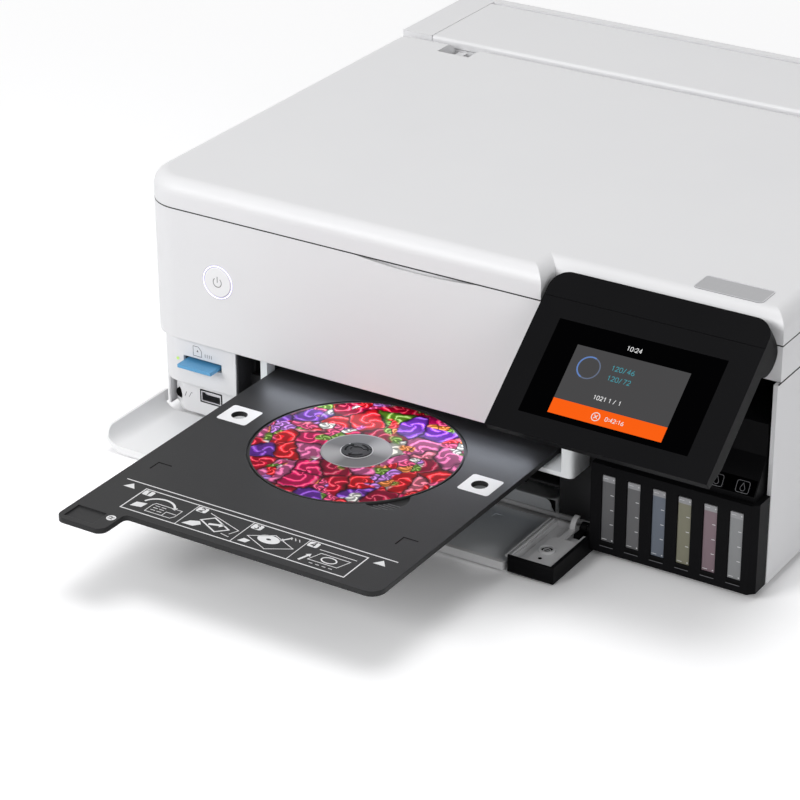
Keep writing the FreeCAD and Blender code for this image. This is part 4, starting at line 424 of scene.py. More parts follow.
def pinwheels(tree, place, scale, turns, petals, stops, warp):
    """Pinwheels in random colours: cells with spiral folds, pale tips and a shaded rim."""
    wobble = add_node(tree, "ShaderNodeTexNoise", {"Vector": place, "Scale": 140.0, "Detail": 3.0})
    shifted = vector_maths(tree, "SUBTRACT", wobble.outputs["Color"], (0.5, 0.5, 0.5))
    bent = scaled_by(tree, shifted, warp)
    where = vector_maths(tree, "ADD", place, bent)
    scaled = scaled_by(tree, where, scale)
    cells = add_node(tree, "ShaderNodeTexVoronoi", {"Vector": scaled, "Scale": 1.0},
                     voronoi_dimensions="2D", feature="F1")
    edges = add_node(tree, "ShaderNodeTexVoronoi", {"Vector": scaled, "Scale": 1.0},
                     voronoi_dimensions="2D", feature="DISTANCE_TO_EDGE")
    from_middle = vector_maths(tree, "SUBTRACT", scaled, cells.outputs["Position"])
    split = add_node(tree, "ShaderNodeSeparateXYZ", {0: from_middle})
    angle = maths(tree, "ARCTAN2", split.outputs["Y"], split.outputs["X"])
    winding = maths(tree, "MULTIPLY", cells.outputs["Distance"], turns)
    phase = maths(tree, "ADD", maths(tree, "MULTIPLY", angle, petals), winding)
    folds = spread(tree, maths(tree, "SINE", phase), 0.0, 1.0)
    lit = spread(tree, folds, 0.30, 1.0, 0.05, 0.7)
    shade = spread(tree, edges.outputs["Distance"], 0.03, 1.0, 0.0, 0.11)
    chance = add_node(tree, "ShaderNodeSeparateColor", {0: cells.outputs["Color"]}).outputs[0]
    colour = ramp(tree, chance, stops, "CONSTANT")
    tip = spread(tree, folds, 0.0, 0.22, 0.85, 1.0)
    tipped = blend(tree, tip, colour, rgba(1.0, 0.72, 0.80))
    light = maths(tree, "MULTIPLY", lit, shade)
    return scaled_by(tree, tipped, light)


def printed_disc():
    """Generic printed pinwheels out to a dark rim, and a bare grey ring round the hub with lighter and darker
    wedges of painted reflection.
    """
    material, tree, shader = shader_graph("printed_disc", {
        "Roughness": 0.35, "Specular IOR Level": 0.03})
    place = object_place(tree)
    centre = at(DISC_X, DISC_Y, TRAY_TOP)
    local = vector_maths(tree, "SUBTRACT", place, tuple(centre))
    split = add_node(tree, "ShaderNodeSeparateXYZ", {0: local})
    flat = add_node(tree, "ShaderNodeCombineXYZ", {
        "X": split.outputs["X"], "Y": split.outputs["Y"]}).outputs[0]
    reach = length_of(tree, flat)
    large = pinwheels(tree, flat, 56.0, 15.0, 3.0, [
        (0.0, (0.50, 0.0, 0.05)), (0.16, (0.95, 0.005, 0.015)), (0.33, (0.90, 0.01, 0.16)),
        (0.48, (0.25, 0.05, 0.62)), (0.56, (0.85, 0.16, 0.42)), (0.68, (0.80, 0.0, 0.04)),
        (0.82, (0.80, 0.80, 0.70)), (0.88, (0.14, 0.30, 0.02)), (0.93, (0.95, 0.22, 0.32))], 0.007)
    small = pinwheels(tree, flat, 140.0, 9.0, 4.0, [
        (0.0, (0.95, 0.01, 0.02)), (0.25, (0.62, 0.25, 0.85)), (0.40, (0.20, 0.42, 0.03)),
        (0.55, (0.95, 0.08, 0.26)), (0.75, (0.88, 0.90, 0.84)), (0.9, (0.95, 0.30, 0.04))], 0.002)
    chosen = spread(tree, noise(tree, flat, 46.0, 1.0), 0.0, 1.0, 0.53, 0.57)
    art = blend(tree, chosen, large, small)
    # lighter and darker wedges round the bare grey ring: a painted reflection
    angle = maths(tree, "ARCTAN2", split.outputs["Y"], split.outputs["X"])
    reflection_wedges = spread(tree, maths(tree, "SINE", maths(tree, "MULTIPLY", angle, 2.0)), 0.0, 1.0)
    clear = blend(tree, reflection_wedges, rgba(0.15, 0.15, 0.155), rgba(0.33, 0.33, 0.335))
    inner_ring = maths(tree, "LESS_THAN", reach, CLEAR_RADIUS * MM)
    with_ring = blend(tree, inner_ring, art, clear)
    lip = maths(tree, "COMPARE", reach, CLEAR_RADIUS * MM)
    lip.node.inputs[2].default_value = CLEAR_LIP * MM
    with_lip = blend(tree, lip, with_ring, rgba(0.28, 0.28, 0.285))
    rim = maths(tree, "GREATER_THAN", reach, (DISC_RADIUS - DISC_RIM) * MM)
    tree.links.new(blend(tree, rim, with_lip, rgba(0.05, 0.05, 0.05)), shader.inputs["Base Color"])
    return material


def toned_along_y(name, stops, roughness, plain_left=0.0):
    """Plastic whose tone changes from front to back, painting light and shade along it; stops are (place in
    Y, colour), front first.

    Left of plain_left the whole piece keeps the front's tone."""
    material, tree, shader = shader_graph(name, {"Specular IOR Level": 0.5})
    place = object_place(tree)
    cloud = surface_detail(tree, shader, place, roughness, 0.1, 2400.0, 0.4)
    split = add_node(tree, "ShaderNodeSeparateXYZ", {0: place})
    front, back = stops[0][0], stops[-1][0]
    along = spread(tree, split.outputs["Y"], 0.0, 1.0, at(0, front, 0).y, at(0, back, 0).y)
    shares = [((y - front) / (back - front), colour) for y, colour in stops]
    right_part = maths(tree, "GREATER_THAN", split.outputs["X"], at(plain_left, 0, 0).x)
    tone = ramp(tree, maths(tree, "MULTIPLY", along, right_part), shares)
    tinted = scaled_by(tree, tone, spread(tree, cloud, 0.96, 1.04))
    tree.links.new(tinted, shader.inputs["Base Color"])
    return material


def pane_glass():
    """Clear pane of the scanner with a faint green body."""
    material, tree, shader = shader_graph("pane_glass", {
        "Transmission Weight": 1.0, "IOR": 1.5, "Roughness": 0.02})
    place = object_place(tree)
    tree.links.new(blend(tree, noise(tree, place, 6.0), rgba(0.86, 0.93, 0.92), rgba(0.93, 0.97, 0.96)),
                   shader.inputs["Base Color"])
    return material


WHITE = plastic("white_shell", (0.76, 0.76, 0.77), (0.725, 0.725, 0.74), 0.42, Specular_IOR_Level=0.4)
SATIN_WHITE = plastic("white_satin", (0.78, 0.80, 0.81), (0.72, 0.74, 0.75), 0.35)
BLACK = plastic("black_shell", (0.0065, 0.0065, 0.0072), (0.0045, 0.0045, 0.005), 0.34, grain=0.05,
                Specular_IOR_Level=0.028)
SOFT_BLACK = plastic("inner_black", (0.030, 0.030, 0.032), (0.022, 0.022, 0.024), 0.5,
                     Specular_IOR_Level=0.2)
TRAY = plastic("tray_black", (0.025, 0.025, 0.026), (0.020, 0.020, 0.0208), 0.42, grain=0.2,
               Specular_IOR_Level=0.15)
CASSETTE = plastic("cassette_grey", (0.62, 0.64, 0.66), (0.55, 0.57, 0.59), 0.35)
END_GREY = plastic("end_tray", (0.66, 0.66, 0.67), (0.58, 0.58, 0.59), 0.35)
DARK_GREY = plastic("dark_grey", (0.10, 0.10, 0.105), (0.07, 0.07, 0.075), 0.5)
HUB = plastic("hub_grey", (0.016, 0.016, 0.017), (0.011, 0.011, 0.012), 0.4, Specular_IOR_Level=0.12)
RUBBER = plastic("rubber", (0.03, 0.03, 0.03), (0.02, 0.02, 0.02), 0.75, grain=0.4)
GREEN = plastic("circuit_board", (0.03, 0.22, 0.08), (0.015, 0.14, 0.05), 0.4)
CASE = plastic("supply_case", (0.13, 0.13, 0.135), (0.10, 0.10, 0.105), 0.45)
DISPLAY = plastic("display_glass", (0.0006, 0.0006, 0.0008), (0.0004, 0.0004, 0.0006), 0.12, grain=0.0,
                  Specular_IOR_Level=0.004)
BUTTON = plastic("button_white", (0.84, 0.84, 0.85), (0.80, 0.80, 0.815), 0.3)
BLUE = plastic("card_blue", (0.11, 0.36, 0.62), (0.085, 0.31, 0.56), 0.4)
STEEL = brushed_metal("steel", (0.66, 0.66, 0.68), (0.50, 0.50, 0.52), 0.32)
BADGE = brushed_metal("badge_silver", (0.44, 0.44, 0.45), (0.34, 0.34, 0.35), 0.5, (40.0, 1.0, 40.0))
PRINT = plastic("tray_print", (0.80, 0.80, 0.81), (0.72, 0.72, 0.73), 0.6, edge=0.05)
# black for printed marks, and for painted shade in holes, grooves and corners
PRINT_AND_SHADE_BLACK = plastic("print_and_shade_black", (0.004, 0.004, 0.004), (0.003, 0.003, 0.003), 0.6, edge=0.05,
                     Specular_IOR_Level=0.03)
# dark for the joints of the lid and the waist: painted shade in the gaps
GAP_SHADE = plastic("gap_shade_dark", (0.030, 0.030, 0.031), (0.018, 0.018, 0.019), 0.6, edge=0.05,
               Specular_IOR_Level=0.05)
MARK_GREY = plastic("mark_grey", (0.13, 0.13, 0.14), (0.10, 0.10, 0.11), 0.5, edge=0.05)
# pale grey for printed ticks and the screw head, and for the painted highlight round the hub
TICK_AND_HIGHLIGHT = plastic("tick_print_and_highlight", (0.62, 0.62, 0.63), (0.50, 0.50, 0.52), 0.5, edge=0.05)
RING_HALO = plastic("ring_halo", (0.68, 0.64, 0.90), (0.64, 0.60, 0.86), 0.4)
RING_GLOW = glow("ring_glow", (0.97, 0.96, 1.0), (0.90, 0.89, 1.0), 0.9)
SYMBOL_GREY = plastic("symbol_grey", (0.20, 0.20, 0.20), (0.16, 0.16, 0.16), 0.5, edge=0.05)
LAMP_GREEN = glow("lamp_green", (0.42, 0.62, 0.16), (0.34, 0.52, 0.12), 0.5)
DISC = printed_disc()
PANE = pane_glass()
LINER_BACK = 13.3
# the liner's tone along Y is painted sheen and shade: pale at the front, darkest ahead of the back, paler
# again at the back
LINER = toned_along_y("flap_liner", (
    (-41.0, (0.80, 0.82, 0.84)), (-22.0, (0.68, 0.71, 0.74)), (6.0, (0.56, 0.60, 0.65)),
    (LINER_BACK, (0.74, 0.77, 0.80))), 0.3)
# the flap's paler front edge is painted light, and the dark band behind the liner's back is painted shade
FLAP = toned_along_y("flap_white", (
    (-44.0, (0.88, 0.88, 0.885)), (-38.0, (0.79, 0.79, 0.80)), (LINER_BACK - 0.1, (0.78, 0.78, 0.79)),
    (LINER_BACK, (0.20, 0.21, 0.23)), (20.0, (0.16, 0.17, 0.19))), 0.42, plain_left=44.0)


FINISHES = {
    WHITE: ("base_housing", "rear_housing", "rear_feed_cover", "front_fascia", "scanner_housing",
            "document_cover", "card_panel", "port_panel"),
    SATIN_WHITE: ("disc_guide_left", "disc_guide_right", "document_mat", "rear_feed_chute"),
    BLACK: ("tank_front_cover", "tank_cover", "panel_housing", "flap_end_cap"),
    SOFT_BLACK: ("inner_frame", "side_plates", "card_reader", "tank_caps", "print_carriage",
                 "capping_station", "platen", "output_tray", "photo_cassette", "power_inlet",
                 "scan_carriage"),
    TRAY: ("disc_tray",),
    CASSETTE: ("paper_cassette",),
    END_GREY: ("flap_end_tray",),
    DARK_GREY: ("maintenance_box", "data_ports", "belt_tensioner"),
    HUB: ("disc_hub",),
    RUBBER: ("rubber_feet", "feed_roller", "eject_roller", "timing_belt"),
    GREEN: ("main_board",),
    CASE: ("power_supply",),
    DISPLAY: ("panel_glass",),
    BUTTON: ("power_button",),
    RING_HALO: ("button_ring",),
    BLUE: ("memory_card",),
    STEEL: ("usb_port", "guide_rail", "carriage_motor", "motor_pulley", "idler_pulley", "star_wheels"),
    DISC: ("disc",),
    PANE: ("platen_glass",),
    LINER: ("flap_liner",),
    FLAP: ("front_flap",),
}
INKS = ((0.088, 0.088, 0.092), (0.094, 0.094, 0.098), (0.095, 0.112, 0.142), (0.158, 0.152, 0.105),
        (0.165, 0.112, 0.132), (0.20, 0.205, 0.21))


def dress(name, material):
    node = nodes[name]
    if not node.material_slots:
        node.data.materials.append(material)
    for holder in node.material_slots:
        holder.material = material


for material, names in FINISHES.items():
    for name in names:
        dress(name, material)
for index, tint in enumerate(INKS):
    dress(f"ink_tank_{index + 1}", ink_tank(f"ink_{index + 1}", tint))


# -------------------- disc tray print

tray_plane = top_plane(TRAY_TOP)
HOLE_Y, HOLE_RADIUS = -40.4, 4.75
PATCH_LOW, PATCH_HIGH, PATCH_ROUND = -50.0, -31.0, 1.6


def hole_patch(left, right, hole_x):
    """White rounded square round a sensing hole."""
    outer = matched_box(left, right, PATCH_LOW, PATCH_HIGH, PATCH_ROUND, (hole_x, HOLE_Y))
    return ring_between(outer, arc(hole_x, HOLE_Y, HOLE_RADIUS, steps=ROUND_STEPS))


FRAME_LEFT, FRAME_RIGHT = 104.6, 247.1
FRAME_TOP, FRAME_LOW = -139.1, -162.6
CELLS = 4
CELL = (FRAME_RIGHT - FRAME_LEFT) / CELLS
THIN, LINE = 0.45, 0.7
RULE_LEFT, RULE_RIGHT, RULE_Y = 88.7, 262.8, -135.2
POINTER_HALF, POINTER_HEIGHT = 3.7, 4.8
TAG_IN, TAG_WIDTH, TAG_HEIGHT, TAG_ROUND = 0.9, 6.4, 5.0, 1.1
TAG_DROP = 1.0
NUMBER_LINE = 0.6
SQUASH = 0.62


def cell_point(cell, u, v):
    return (FRAME_LEFT + cell * CELL + u, FRAME_LOW + v)


def cell_points(cell, points):
    return [cell_point(cell, u, v) for u, v in points]


def arrow(points, width, head):
    """A bent arrow: a band with a triangle on its end."""
    tip, before = Vector(points[-1]), Vector(points[-2])
    way = (tip - before).normalized()
    side = Vector((-way.y, way.x)) * head
    return [band(points, width), fill([tuple(tip - side), tuple(tip + way * head * 1.4), tuple(tip + side)])]


def pictograms():
    """Four little line drawings of how a disc goes in: generic shapes only."""
    shapes = []
    # 1: paper leaves the tray, with a printer in front of it
    printer = [(13.5, 3.5), (30, 3.5), (31.5, 6), (31.5, 13), (14.5, 13), (13.5, 11)]
    shapes.append(band(cell_points(0, printer), THIN, closed=True))
    for level in (6.2, 8.6, 10.8):
        for start in (15.5, 19.5):
            shapes.append(band(cell_points(0, [(start, level), (start + 3, level)]), THIN))
    shapes.append(band(cell_points(0, [(24.5, 3.5), (24.5, 8), (30.8, 8)]), THIN))
    sweep = [(u, v) for u, v in arc(17, 10, 10, 165, 25, 14, 0.85)]
    shapes += arrow(cell_points(0, sweep), 1.3, 1.7)
    shapes.append(fill(cell_points(0, [(3.2, 4.2), (9.8, 5.4), (10.4, 10.4), (4.2, 9.2)])))
    # 2: the disc tray pushed along its guides
    shapes.append(band(cell_points(1, [(10, 19.5), (33.5, 11.5), (31, 6)]), THIN))
    shapes.append(band(cell_points(1, [(9.5, 11), (23, 4), (28.5, 9.5), (15, 16.5)]), 0.9, closed=True))
    shapes += arrow(cell_points(1, [(15.5, 9.3), (21.5, 11.2)]), 1.8, 2.2)
    shapes.append(fill(cell_points(1, [(2.5, 3), (9.5, 3.2), (12.5, 6.8), (10, 9.4), (5.2, 7.4)])))
    shapes.append(band(cell_points(1, [(27, 4.4), (32.6, 3.4)]), THIN))
    # 3: a disc laid in the well
    shapes.append(band(cell_points(2, [(4.5, 10), (20, 2.8), (33, 10.5), (17.5, 17.6)]), THIN, closed=True))
    centre = cell_point(2, 16.5, 12.2)
    outer = arc(centre[0], centre[1], 6.6, steps=40, squash=SQUASH)
    inner = arc(centre[0], centre[1], 1.5, steps=40, squash=SQUASH)
    shapes.append(ring_between(outer, inner))
    shapes += arrow(cell_points(2, [(26.5, 20), (23.5, 16)]), 1.0, 1.5)
    shapes.append(fill(cell_points(2, [(2.8, 3), (7.8, 3.2), (8.8, 6.4), (4.6, 6.8)])))
    for start in (25.5, 28, 30.5):
        shapes.append(band(cell_points(2, [(start, 20.4), (start + 1.6, 18.2)]), THIN))
    # 4: the loaded tray on its way in
    shapes.append(band(cell_points(3, [(9.5, 17.5), (32.5, 17.5)]), THIN))
    shapes.append(band(cell_points(3, [(12.5, 14.5), (30.5, 14.5), (27.5, 6), (9.5, 6)]), THIN, closed=True))
    centre = cell_point(3, 20, 10.2)
    shapes.append(band(arc(centre[0], centre[1], 4.4, steps=36, squash=SQUASH), 0.8, closed=True))
    shapes += arrow(cell_points(3, [(5.6, 3), (7.6, 9)]), 1.4, 1.8)
    for start in (12, 16, 20, 24):
        shapes.append(band(cell_points(3, [(start, 3.4), (start + 2.2, 3.4)]), THIN))
    return shapes


def pointer(u, foot):
    """A small triangle whose tip points away from the tray's front edge."""
    return fill([(u - POINTER_HALF, foot), (u + POINTER_HALF, foot), (u, foot + POINTER_HEIGHT)])


def tag_left(cell):
    return FRAME_LEFT + cell * CELL + TAG_IN


def printed_lines():
    """All the white print on the tray except the mark on its tab."""
    shapes = [
        hole_patch(86.9, 106.8, 96.6),
        hole_patch(246.2, 265.5, 255.3),
        band([(RULE_LEFT, RULE_Y), (RULE_RIGHT, RULE_Y)], LINE),
        pointer(95.3, -142.6),
        pointer(255.7, -142.4),
        band(rectangle(FRAME_LEFT, FRAME_RIGHT, FRAME_LOW, FRAME_TOP), LINE, closed=True),
    ]
    for cell in range(1, CELLS):
        across = FRAME_LEFT + cell * CELL
        shapes.append(band([(across, FRAME_LOW + LINE / 2), (across, FRAME_TOP - LINE / 2)], THIN))
    for cell in range(CELLS):
        left, top = tag_left(cell), FRAME_TOP - TAG_DROP
        shapes.append(fill(rounded_box(left, left + TAG_WIDTH, top - TAG_HEIGHT, top, TAG_ROUND, 3)))
    return shapes + pictograms()


# strokes of the step numbers, about each tag's middle
STEP_NUMBERS = (
    [(-0.9, 0.9), (0.2, 1.9), (0.2, -1.9)],
    [(-1.1, 1.2), (-0.3, 1.9), (0.8, 1.6), (1.0, 0.6), (-1.1, -1.8), (1.2, -1.8)],
    [(-1.0, 1.6), (0.4, 1.9), (1.0, 1.1), (0.2, 0.1), (1.1, -0.9), (0.3, -1.9), (-1.1, -1.6)],
    [(0.6, -1.9), (0.6, 1.9), (-1.2, -0.7), (1.3, -0.7)],
)


def cell_numbers():
    shapes = []
    for cell, stroke in enumerate(STEP_NUMBERS):
        middle_u = tag_left(cell) + TAG_WIDTH / 2
        middle_v = FRAME_TOP - TAG_DROP - TAG_HEIGHT / 2
        shapes.append(band([(middle_u + u, middle_v + v) for u, v in stroke], NUMBER_LINE))
    return shapes


def corner_marks():
    return [band([(92.0, -119.1), (92.0, -110.9), (100.8, -110.9)], LINE),
            band([(251.2, -119.5), (251.2, -111.2), (260.1, -111.2)], LINE)]


TAB_ICON = (108.0, -175.1)
TAB_ICON_RADIUS, TAB_ICON_LINE = 2.7, 0.5


def tab_icon():
    """Round white mark beside the tab's pad."""
    return [fill(arc(*TAB_ICON, TAB_ICON_RADIUS, steps=32))]


def tab_icon_marks():
    """Two dark strokes on the tab's round mark."""
    u, v = TAB_ICON
    upper = [(u - 1.7, v + 0.6), (u - 0.3, v + 1.2), (u + 0.4, v + 0.2), (u + 1.8, v + 0.8)]
    lower = [(u - 1.5, v - 1.1), (u + 0.2, v - 0.6), (u + 1.2, v - 1.4)]
    return [band(upper, TAB_ICON_LINE), band(lower, TAB_ICON_LINE)]


piece("tray_print", tray_plane, printed_lines(), SUNK, PRINT_LIFT, PRINT, "disc_tray")
piece("tray_cell_numbers", tray_plane, cell_numbers(), 0.0, 2 * PRINT_LIFT, PRINT_AND_SHADE_BLACK, "disc_tray")
piece("tray_corner_marks", tray_plane, corner_marks(), SUNK, PRINT_LIFT, PRINT_AND_SHADE_BLACK, "disc_tray")
piece("tray_tab_icon", tray_plane, tab_icon(), SUNK, PRINT_LIFT, PRINT, "disc_tray")
piece("tray_tab_icon_marks", tray_plane, tab_icon_marks(), 0.0, 2 * PRINT_LIFT, PRINT_AND_SHADE_BLACK, "disc_tray")


RECESS_RADIUS, RECESS_DEPTH = 12.2, 1.75
RECESS_IN = 2.6
RECESS_TURN = math.radians(41)
RIDGES, RIDGE_FIRST, RIDGE_PITCH = 5, 3.0, 1.9
RIDGE_WIDTH, RIDGE_HEIGHT, RIDGE_SHORTEST = 0.55, 0.5, 1.5


def finger_ridges():
    """Fine grip ridges in the finger recess, where it lies outside the disc's well."""
    shapes = []
    reach = DISC_RADIUS - RECESS_IN
    middle_x = DISC_X + reach * math.cos(RECESS_TURN)
    middle_y = DISC_Y - reach * math.sin(RECESS_TURN)
    for row in range(RIDGES):
        drop = RIDGE_FIRST + RIDGE_PITCH * row
        level = middle_y - drop
        half = math.sqrt(RECESS_RADIUS ** 2 - drop ** 2)
        left = middle_x - half
        if level > DISC_Y - WELL_RADIUS:
            left = max(left, DISC_X + math.sqrt(WELL_RADIUS ** 2 - (level - DISC_Y) ** 2))
        if middle_x + half - left > RIDGE_SHORTEST:
            shapes.append(band([(left, level), (middle_x + half, level)], RIDGE_WIDTH))
    return shapes


piece("tray_finger_ridges", top_plane(TRAY_TOP - RECESS_DEPTH), finger_ridges(), SUNK, RIDGE_HEIGHT,
      DARK_GREY, "disc_tray")


# -------------------- power button

SYMBOL_RADIUS, SYMBOL_STEM, SYMBOL_LINE = 2.85, 3.7, 0.5
SYMBOL_GAP = 40.0
RING_OUTER, RING_INNER = 10.2, 9.75


def power_symbol():
    """An open circle, with a stem that rises through its gap."""
    bow = arc(BUTTON_X, BUTTON_Z, SYMBOL_RADIUS, 90 + SYMBOL_GAP, 450 - SYMBOL_GAP, 30)
    return [band(bow, SYMBOL_LINE),
            band([(BUTTON_X, BUTTON_Z), (BUTTON_X, BUTTON_Z + SYMBOL_STEM)], SYMBOL_LINE)]


piece("power_symbol", front_plane(BUTTON_FACE), power_symbol(), SUNK, FILM_LIFT, SYMBOL_GREY,
      "power_button")
piece("power_ring_light", front_plane(FASCIA_FACE),
      [round_ring(BUTTON_X, BUTTON_Z, RING_OUTER, RING_INNER, ROUND_STEPS)],
      SUNK, TRIM_LIFT, RING_GLOW, "scanner_unit")


# -------------------- card corner

ICON_LINE = 0.32
CONTACTS, CONTACT_FIRST, CONTACT_PITCH = 4, 39.6, 1.5
CONTACT_LOW, CONTACT_HIGH = 50.4, 52.6
PLUG_LINE = 0.3
CARD_LAMP, CARD_LAMP_RADIUS, CARD_LAMP_LIFT = (19.6, 45.3), 0.95, 0.35
CHEEK_LEFT, CHEEK_RIGHT, CHEEK_FRONT, CHEEK_BACK = 0.3, 2.3, 20.4, 30.3
CHEEK_ROUND, CHEEK_FOOT, CHEEK_TOP = 0.9, 5.0, 61.5
SCREW_PLACE, SCREW_RADIUS = (1.3, 32.3), 0.55
JACK_FACE, JACK_DEPTH = 18.5, 2.0
JACK_PLACE, JACK_RADIUS = (11.0, 15.0), 3.3
PORT_LEFT, PORT_RIGHT, PORT_LOW, PORT_HIGH = 29.8, 44.2, 16.3, 23.1
GASKET_WIDTH, METAL_WIDTH = 0.9, 0.7
METAL_DEPTH, METAL_LIFT = 0.5, 0.1


def card_icon():
    outline = [(31.0, 50.0), (37.0, 50.0), (37.0, 53.6), (34.9, 56.2), (31.0, 56.2)]
    return [band(outline, ICON_LINE, closed=True), fill([(33.4, 52.8), (34.8, 52.8), (34.1, 54.2)])]


def contact_marks():
    """Bare row of contact marks beside the icon."""
    places = [CONTACT_FIRST + CONTACT_PITCH * i for i in range(CONTACTS)]
    return [band([(u, CONTACT_LOW), (u, CONTACT_HIGH)], ICON_LINE) for u in places]


def plug_icon():
    return [band([(17.6, 16.4), (18.9, 19.4)], PLUG_LINE),
            band([(20.6, 16.4), (22.3, 19.6), (23.3, 19.6)], PLUG_LINE)]


def port_rim(grow, width):
    """A rim round the port whose outer edge stands grow outside the port's opening."""
    inset = grow - width
    outer = rounded_box(PORT_LEFT - grow, PORT_RIGHT + grow, PORT_LOW - grow, PORT_HIGH + grow, 0.6, 4)
    inner = rounded_box(PORT_LEFT - inset, PORT_RIGHT + inset, PORT_LOW - inset, PORT_HIGH + inset, 0.3, 4)
    return [ring_between(outer, inner)]


piece("card_slot_icon", front_plane(CARD_FACE), card_icon() + contact_marks(), SUNK, FILM_LIFT, MARK_GREY,
      "chassis")
piece("port_icon", front_plane(PORT_FACE), plug_icon(), SUNK, FILM_LIFT, MARK_GREY, "chassis")
piece("card_lamp", front_plane(CARD_FACE), [fill(arc(*CARD_LAMP, CARD_LAMP_RADIUS, steps=20))], SUNK,
      CARD_LAMP_LIFT, LAMP_GREEN, "chassis")
piece("corner_cheek", top_plane(CHEEK_FOOT),
      [fill(rounded_box(CHEEK_LEFT, CHEEK_RIGHT, CHEEK_FRONT, CHEEK_BACK, CHEEK_ROUND, 5))],
      0.0, CHEEK_TOP - CHEEK_FOOT, WHITE, "chassis")
piece("corner_screw", front_plane(CHEEK_FRONT), [fill(arc(*SCREW_PLACE, SCREW_RADIUS, steps=16))], SUNK,
      TRIM_LIFT, MARK_GREY, "chassis")
# dark disc on the dimple's floor: painted shade in the recess
piece("dimple_floor_shade", front_plane(JACK_FACE), [fill(arc(*JACK_PLACE, JACK_RADIUS, steps=32))], -JACK_DEPTH, 0.0,
      PRINT_AND_SHADE_BLACK, "chassis")
piece("port_gasket", front_plane(PORT_FACE), port_rim(GASKET_WIDTH, GASKET_WIDTH), SUNK, PRINT_LIFT,
      PRINT_AND_SHADE_BLACK, "chassis")
piece("port_metal_rim", front_plane(PORT_FACE), port_rim(0.0, METAL_WIDTH), -METAL_DEPTH, METAL_LIFT, STEEL,
      "chassis")


# -------------------- seams: painted shade in the gaps

SHADE_LINE_WIDTH, SHADE_LINE_IN = 0.3, 0.1
LID_SHADE_LINE_HEIGHT, WAIST_SHADE_LINE_HEIGHT = 0.68, 0.86


def lid_outline(inset):
    """Plan line just inside the lid's edge, from its back left corner round to its back right one."""
    corner = arc(LID_CORNER, LID_CORNER, LID_CORNER - inset, 180, 270, 16)
    return ([(inset, LID_BACK)] + corner
            + [(NOTCH_LEFT - inset, inset), (NOTCH_LEFT - inset, NOTCH_DEPTH + inset),
               (BODY_WIDTH - inset, NOTCH_DEPTH + inset), (BODY_WIDTH - inset, LID_BACK)])


def waist_gap_shade(name, x, front):
    piece(name, top_plane(WAIST), [band([(x, front), (x, LID_BACK)], SHADE_LINE_WIDTH)], 0.0, WAIST_SHADE_LINE_HEIGHT,
          GAP_SHADE, "chassis")


# dark bands in the lid's joint and the waist's joint: painted shade where the gaps fall dark
piece("lid_gap_shade", top_plane(LID_FOOT), [band(lid_outline(SHADE_LINE_IN), SHADE_LINE_WIDTH)], 0.0, LID_SHADE_LINE_HEIGHT, GAP_SHADE,
      "scanner_unit")
waist_gap_shade("waist_gap_shade_right", BODY_WIDTH - SHADE_LINE_IN, 13.4)
waist_gap_shade("waist_gap_shade_left", SHADE_LINE_IN, 31.0)


# -------------------- small fittings

HUB_ARC_RADIUS, HUB_ARC_SWEEP, HUB_ARC_WIDTH = 6.3, 78, 1.1
HUB_EDGE_OUTER, HUB_EDGE_INNER, HUB_EDGE_LIFT = 9.3, 8.75, 0.2
hub_arcs = [band(arc(DISC_X, DISC_Y, HUB_ARC_RADIUS, turn, turn + HUB_ARC_SWEEP, 14), HUB_ARC_WIDTH)
            for turn in (16, 136, 256)]
piece("hub_arcs", top_plane(HUB_TOP), hub_arcs, SUNK, MARK_LIFT, PRINT_AND_SHADE_BLACK, "disc_tray")
# pale ring round the hub's foot: painted highlight of the hub's rim
piece("hub_edge_highlight", top_plane(DISC_TOP), [round_ring(DISC_X, DISC_Y, HUB_EDGE_OUTER, HUB_EDGE_INNER)],
      SUNK, HUB_EDGE_LIFT, TICK_AND_HIGHLIGHT, "disc_tray")

BOSS_X, BOSS_Y, END_TRAY_TOP = 289.8, -26.0, 10.2
BOSS_WELL_RADIUS = 3.4
PIN_HOLE_X, PIN_HOLE_Y, PIN_HOLE_RADIUS = BOSS_X + 0.9, BOSS_Y - 9.4, 1.15
BOSS_HEAD_OUTER, BOSS_HEAD_INNER, BOSS_HEAD_LIFT = 2.2, 1.6, 0.3
DRIVER_SLOT_HALF, DRIVER_SLOT_WIDTH = 1.2, 0.45
end_plane = top_plane(END_TRAY_TOP)
driver_slot = [(BOSS_X - DRIVER_SLOT_HALF, BOSS_Y), (BOSS_X + DRIVER_SLOT_HALF, BOSS_Y)]
# dark disc round the screw on the boss: painted shade in the screw's well
piece("end_screw_well_shade", end_plane, [fill(arc(BOSS_X, BOSS_Y, BOSS_WELL_RADIUS, steps=32))], SUNK, TRIM_LIFT,
      PRINT_AND_SHADE_BLACK, "front_flap")
piece("end_screw_head", end_plane,
      [round_ring(BOSS_X, BOSS_Y, BOSS_HEAD_OUTER, BOSS_HEAD_INNER, 32),
       band(driver_slot, DRIVER_SLOT_WIDTH)], 0.0, BOSS_HEAD_LIFT, TICK_AND_HIGHLIGHT, "front_flap")
piece("end_pin_hole_shade", end_plane, [fill(arc(PIN_HOLE_X, PIN_HOLE_Y, PIN_HOLE_RADIUS, steps=20))],
      SUNK, PRINT_LIFT, PRINT_AND_SHADE_BLACK, "front_flap")

